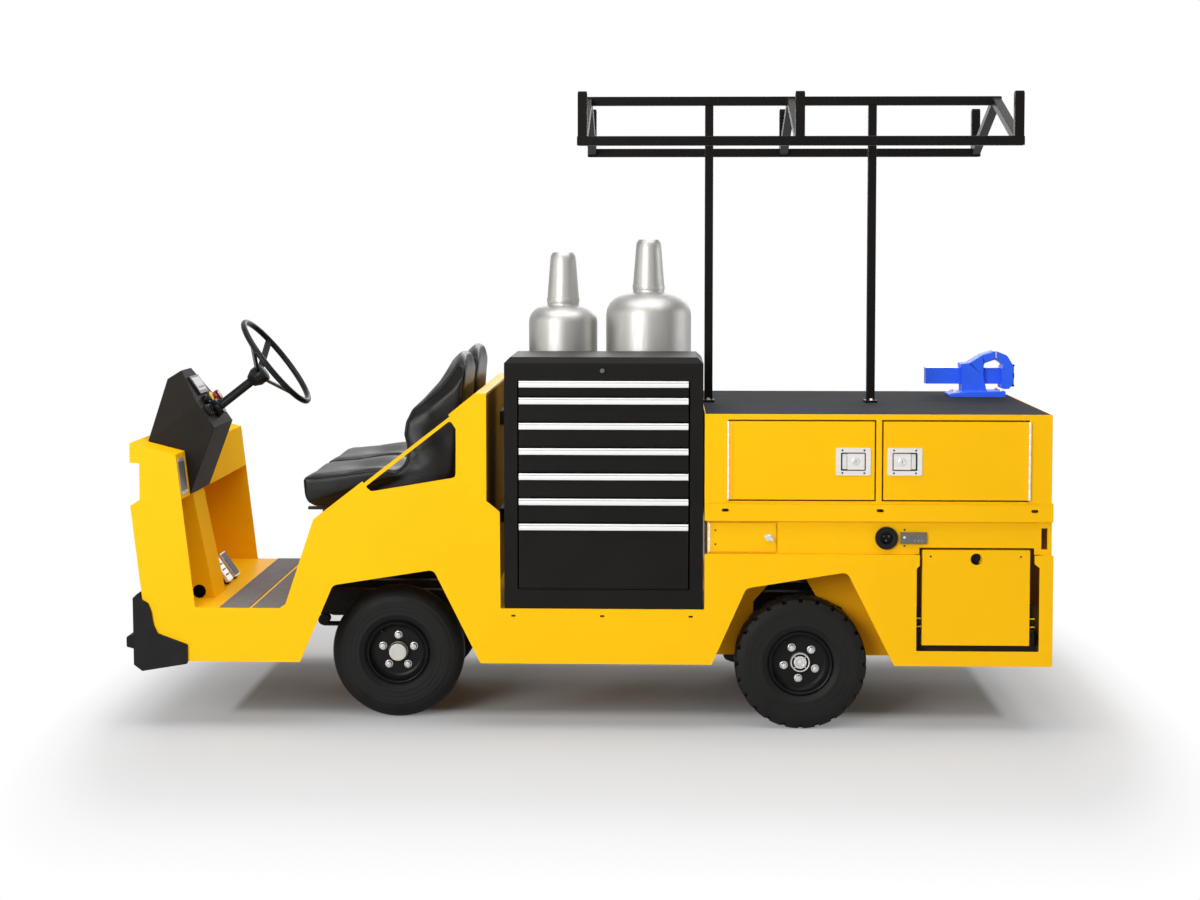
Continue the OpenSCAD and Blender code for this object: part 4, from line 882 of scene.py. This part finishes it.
pad = seat_form()
puff(pad)
seat_mesh = pad.data
bpy.data.objects.remove(pad)
relax(seat_mesh, 2)
seat_mesh.materials.clear()
seat_mesh.materials.append(vinyl)
for p in seat_mesh.polygons:
    p.use_smooth = True
tree = BVHTree.FromPolygons([v.co for v in seat_mesh.vertices], [p.vertices[:] for p in seat_mesh.polygons])
welts, slots = [], []
for s in (-1, 1):
    welt = []
    for p in inset(dense(SEAT[:25], 8, closed=False), 5):
        spot = sculpt((p.x, s * (SEAT_HALF - 3), p.y)) * MM
        spot, normal, _, _ = tree.find_nearest(spot)
        welt.append(spot + normal * 0.0008)
    welts.append(welt[2:-2])
    spot, normal, _, _ = tree.ray_cast(Vector((-0.571, s * 0.4, 0.881)), Vector((0, -s, 0)))
    slots.append(spot.y / MM)
for side, s in (("left", -1), ("right", 1)):
    move = Vector((0, s * SEAT_Y * MM, 0))
    me = seat_mesh.copy()
    me.transform(Matrix.Translation(move))
    ob = bpy.data.objects.new("seat_" + side, me)
    scene.collection.objects.link(ob)
    smooth = ob.modifiers.new("smooth", "SUBSURF")
    smooth.levels = smooth.render_levels = 1
    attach(ob, "body")
    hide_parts("seat_cushions", "seat_backs")
    for i, (welt, y) in enumerate(zip(welts, slots)):
        curve = bpy.data.curves.new(f"welt_curve_{side}_{i}", "CURVE")
        curve.dimensions = "3D"
        curve.bevel_depth = WELT_R
        curve.bevel_resolution = 3
        curve.use_fill_caps = True
        line = curve.splines.new("POLY")
        line.points.add(len(welt) - 1)
        for point, spot in zip(line.points, welt):
            point.co = (*(spot + move), 1)
        cord = bpy.data.objects.new(curve.name, curve)
        scene.collection.objects.link(cord)
        me = bpy.data.meshes.new_from_object(cord)
        bpy.data.objects.remove(cord)
        me.materials.clear()
        me.materials.append(piping)
        for p in me.polygons:
            p.use_smooth = True
        trim = bpy.data.objects.new(f"seat_welt_{side}_{i}", me)
        scene.collection.objects.link(trim)
        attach(trim, "body")
        bm = bmesh.new()
        add_ring(bm, rounded(-602, -540, 875, 887, 5), rounded(-598, -544, 878.5, 883.5, 2.4), -6, 2.4,
                 lambda u, v, w: Vector((u, s * SEAT_Y + y + w * (1 if y > 0 else -1), v)))
        piece(f"seat_slot_{side}_{i}", bm, piping, edge=0.5)


# Studio: pale floor with a painted shadow round the vehicle, white surroundings, soft lights and the photograph's
# camera

def either(nodes, links, how, first, second):
    """Two values joined by a Math node."""
    node = nodes.new("ShaderNodeMath")
    node.operation = how
    links.new(first, node.inputs[0])
    links.new(second, node.inputs[1])
    return node.outputs[0]


def rays(nodes, links):
    """1 for rays from the camera, and 1 for rays from metal and glass: these see the white surroundings."""
    path = nodes.new("ShaderNodeLightPath").outputs
    mirrored = either(nodes, links, "MAXIMUM", path["Is Glossy Ray"], path["Is Transmission Ray"])
    return path["Is Camera Ray"], mirrored


def painted_shadow_distance(nodes, links):
    """Distance in metres outside the ground that the vehicle covers, counted three times along it; the floor's
    painted shadow fades with it.
    """
    where = place(nodes, links, at=(0.1, 0.2, 0))
    for step, by in (("ABSOLUTE", (0, 0, 0)), ("SUBTRACT", (1.35, 0.42, 0)), ("MAXIMUM", (0, 0, 0)),
                     ("MULTIPLY", (3.2, 1, 0))):
        node = nodes.new("ShaderNodeVectorMath")
        node.operation = step
        links.new(where, node.inputs[0])
        node.inputs[1].default_value = by
        where = node.outputs["Vector"]
    node = nodes.new("ShaderNodeVectorMath")
    node.operation = "LENGTH"
    links.new(where, node.inputs[0])
    return node.outputs["Value"]


bm = bmesh.new()
bmesh.ops.create_grid(bm, x_segments=1, y_segments=1, size=30)
me = bpy.data.meshes.new("floor")
bm.to_mesh(me)
bm.free()
floor = bpy.data.objects.new("floor", me)
scene.collection.objects.link(floor)
mat = bpy.data.materials.new("floor")
mat.use_nodes = True
nodes, links = mat.node_tree.nodes, mat.node_tree.links
nodes.clear()
out = nodes.new("ShaderNodeOutputMaterial")
mix = nodes.new("ShaderNodeMixShader")
matt = nodes.new("ShaderNodeBsdfDiffuse")
matt.inputs["Color"].default_value = (0.50, 0.505, 0.515, 1)
glow = nodes.new("ShaderNodeEmission")
# The glow's share grows with the distance from the vehicle, so the floor is darker round it: a painted shadow over
# the real one
painted_shadow_span = span(nodes, links, painted_shadow_distance(nodes, links), 0, 1, 0, 2.0)
painted_shadow_glow = ramp(nodes, links, painted_shadow_span, [(0.0, (0, 0, 0)), (0.06, (0.19,) * 3), (0.35, (0.25,) * 3), (0.6, (0.45,) * 3),
                                  (0.8, (0.8,) * 3), (1.0, (1, 1, 1))])
straight, mirrored = rays(nodes, links)
links.new(either(nodes, links, "MULTIPLY", either(nodes, links, "MAXIMUM", straight, mirrored), painted_shadow_glow),
          mix.inputs["Fac"])
links.new(matt.outputs[0], mix.inputs[1])
links.new(glow.outputs[0], mix.inputs[2])
links.new(mix.outputs[0], out.inputs["Surface"])
me.materials.append(mat)

world = bpy.data.worlds.new("studio")
scene.world = world
world.use_nodes = True
nodes, links = world.node_tree.nodes, world.node_tree.links
back = nodes["Background"]
back.inputs["Color"].default_value = (1, 1, 1, 1)
# A white backdrop stands behind the vehicle, and the rest of the studio is dim
split = nodes.new("ShaderNodeSeparateXYZ")
links.new(nodes.new("ShaderNodeTexCoord").outputs["Generated"], split.inputs["Vector"])
backdrop = either(nodes, links, "MULTIPLY", span(nodes, links, split.outputs["Y"], 0, 1, 0.3, 0.8),
                  span(nodes, links, split.outputs["Z"], 0, 1, 0.03, 0.12))
straight, mirrored = rays(nodes, links)
white = either(nodes, links, "MAXIMUM", straight, either(nodes, links, "MULTIPLY", mirrored, backdrop))
links.new(span(nodes, links, white, 0.31, 1.0, 0, 1), back.inputs["Strength"])

# Lamps: name, place, the point each faces, width, height and watts
LAMPS = [("top", (0.2, -1.0, 5.2), (0.1, 0.2, 0.8), 6.0, 4.0, 240),
         ("front", (-3.4, -6.6, 2.7), (0.1, 0, 0.8), 3.4, 3.2, 340),
         ("right", (3.2, -6.6, 3.0), (0.8, 0, 0.9), 3.0, 3.0, 22),
         ("rear", (1.0, 5.5, 3.4), (0, 0, 0.9), 5.0, 3.0, 90),
         ("nose", (-5.6, -1.2, 2.2), (-1.5, 0, 0.7), 3.0, 2.5, 36),
         ("end", (5.6, 0.6, 1.8), (1.6, 0, 0.7), 3.0, 2.5, 50)]
for name, spot, aim, wide, tall, power in LAMPS:
    lamp = bpy.data.lights.new(name, "AREA")
    lamp.shape = "RECTANGLE"
    lamp.size, lamp.size_y = wide, tall
    lamp.energy = power
    ob = bpy.data.objects.new("lamp_" + name, lamp)
    ob.location = spot
    ob.rotation_euler = (Vector(aim) - Vector(spot)).to_track_quat("-Z", "Y").to_euler()
    scene.collection.objects.link(ob)

# The photograph fits a level camera with more shift. Part of it is a tilt here, so that other views show the rack.
camera = bpy.data.cameras.new("camera")
camera.sensor_width = 36.0
camera.lens = 61.989
camera.shift_y = -0.08
eye = bpy.data.objects.new("camera", camera)
eye.location = (0.2708, -7.5313, 1.6806)
eye.rotation_euler = (radians(86.8246), radians(-0.019), radians(1.7916))
scene.collection.objects.link(eye)
scene.camera = eye
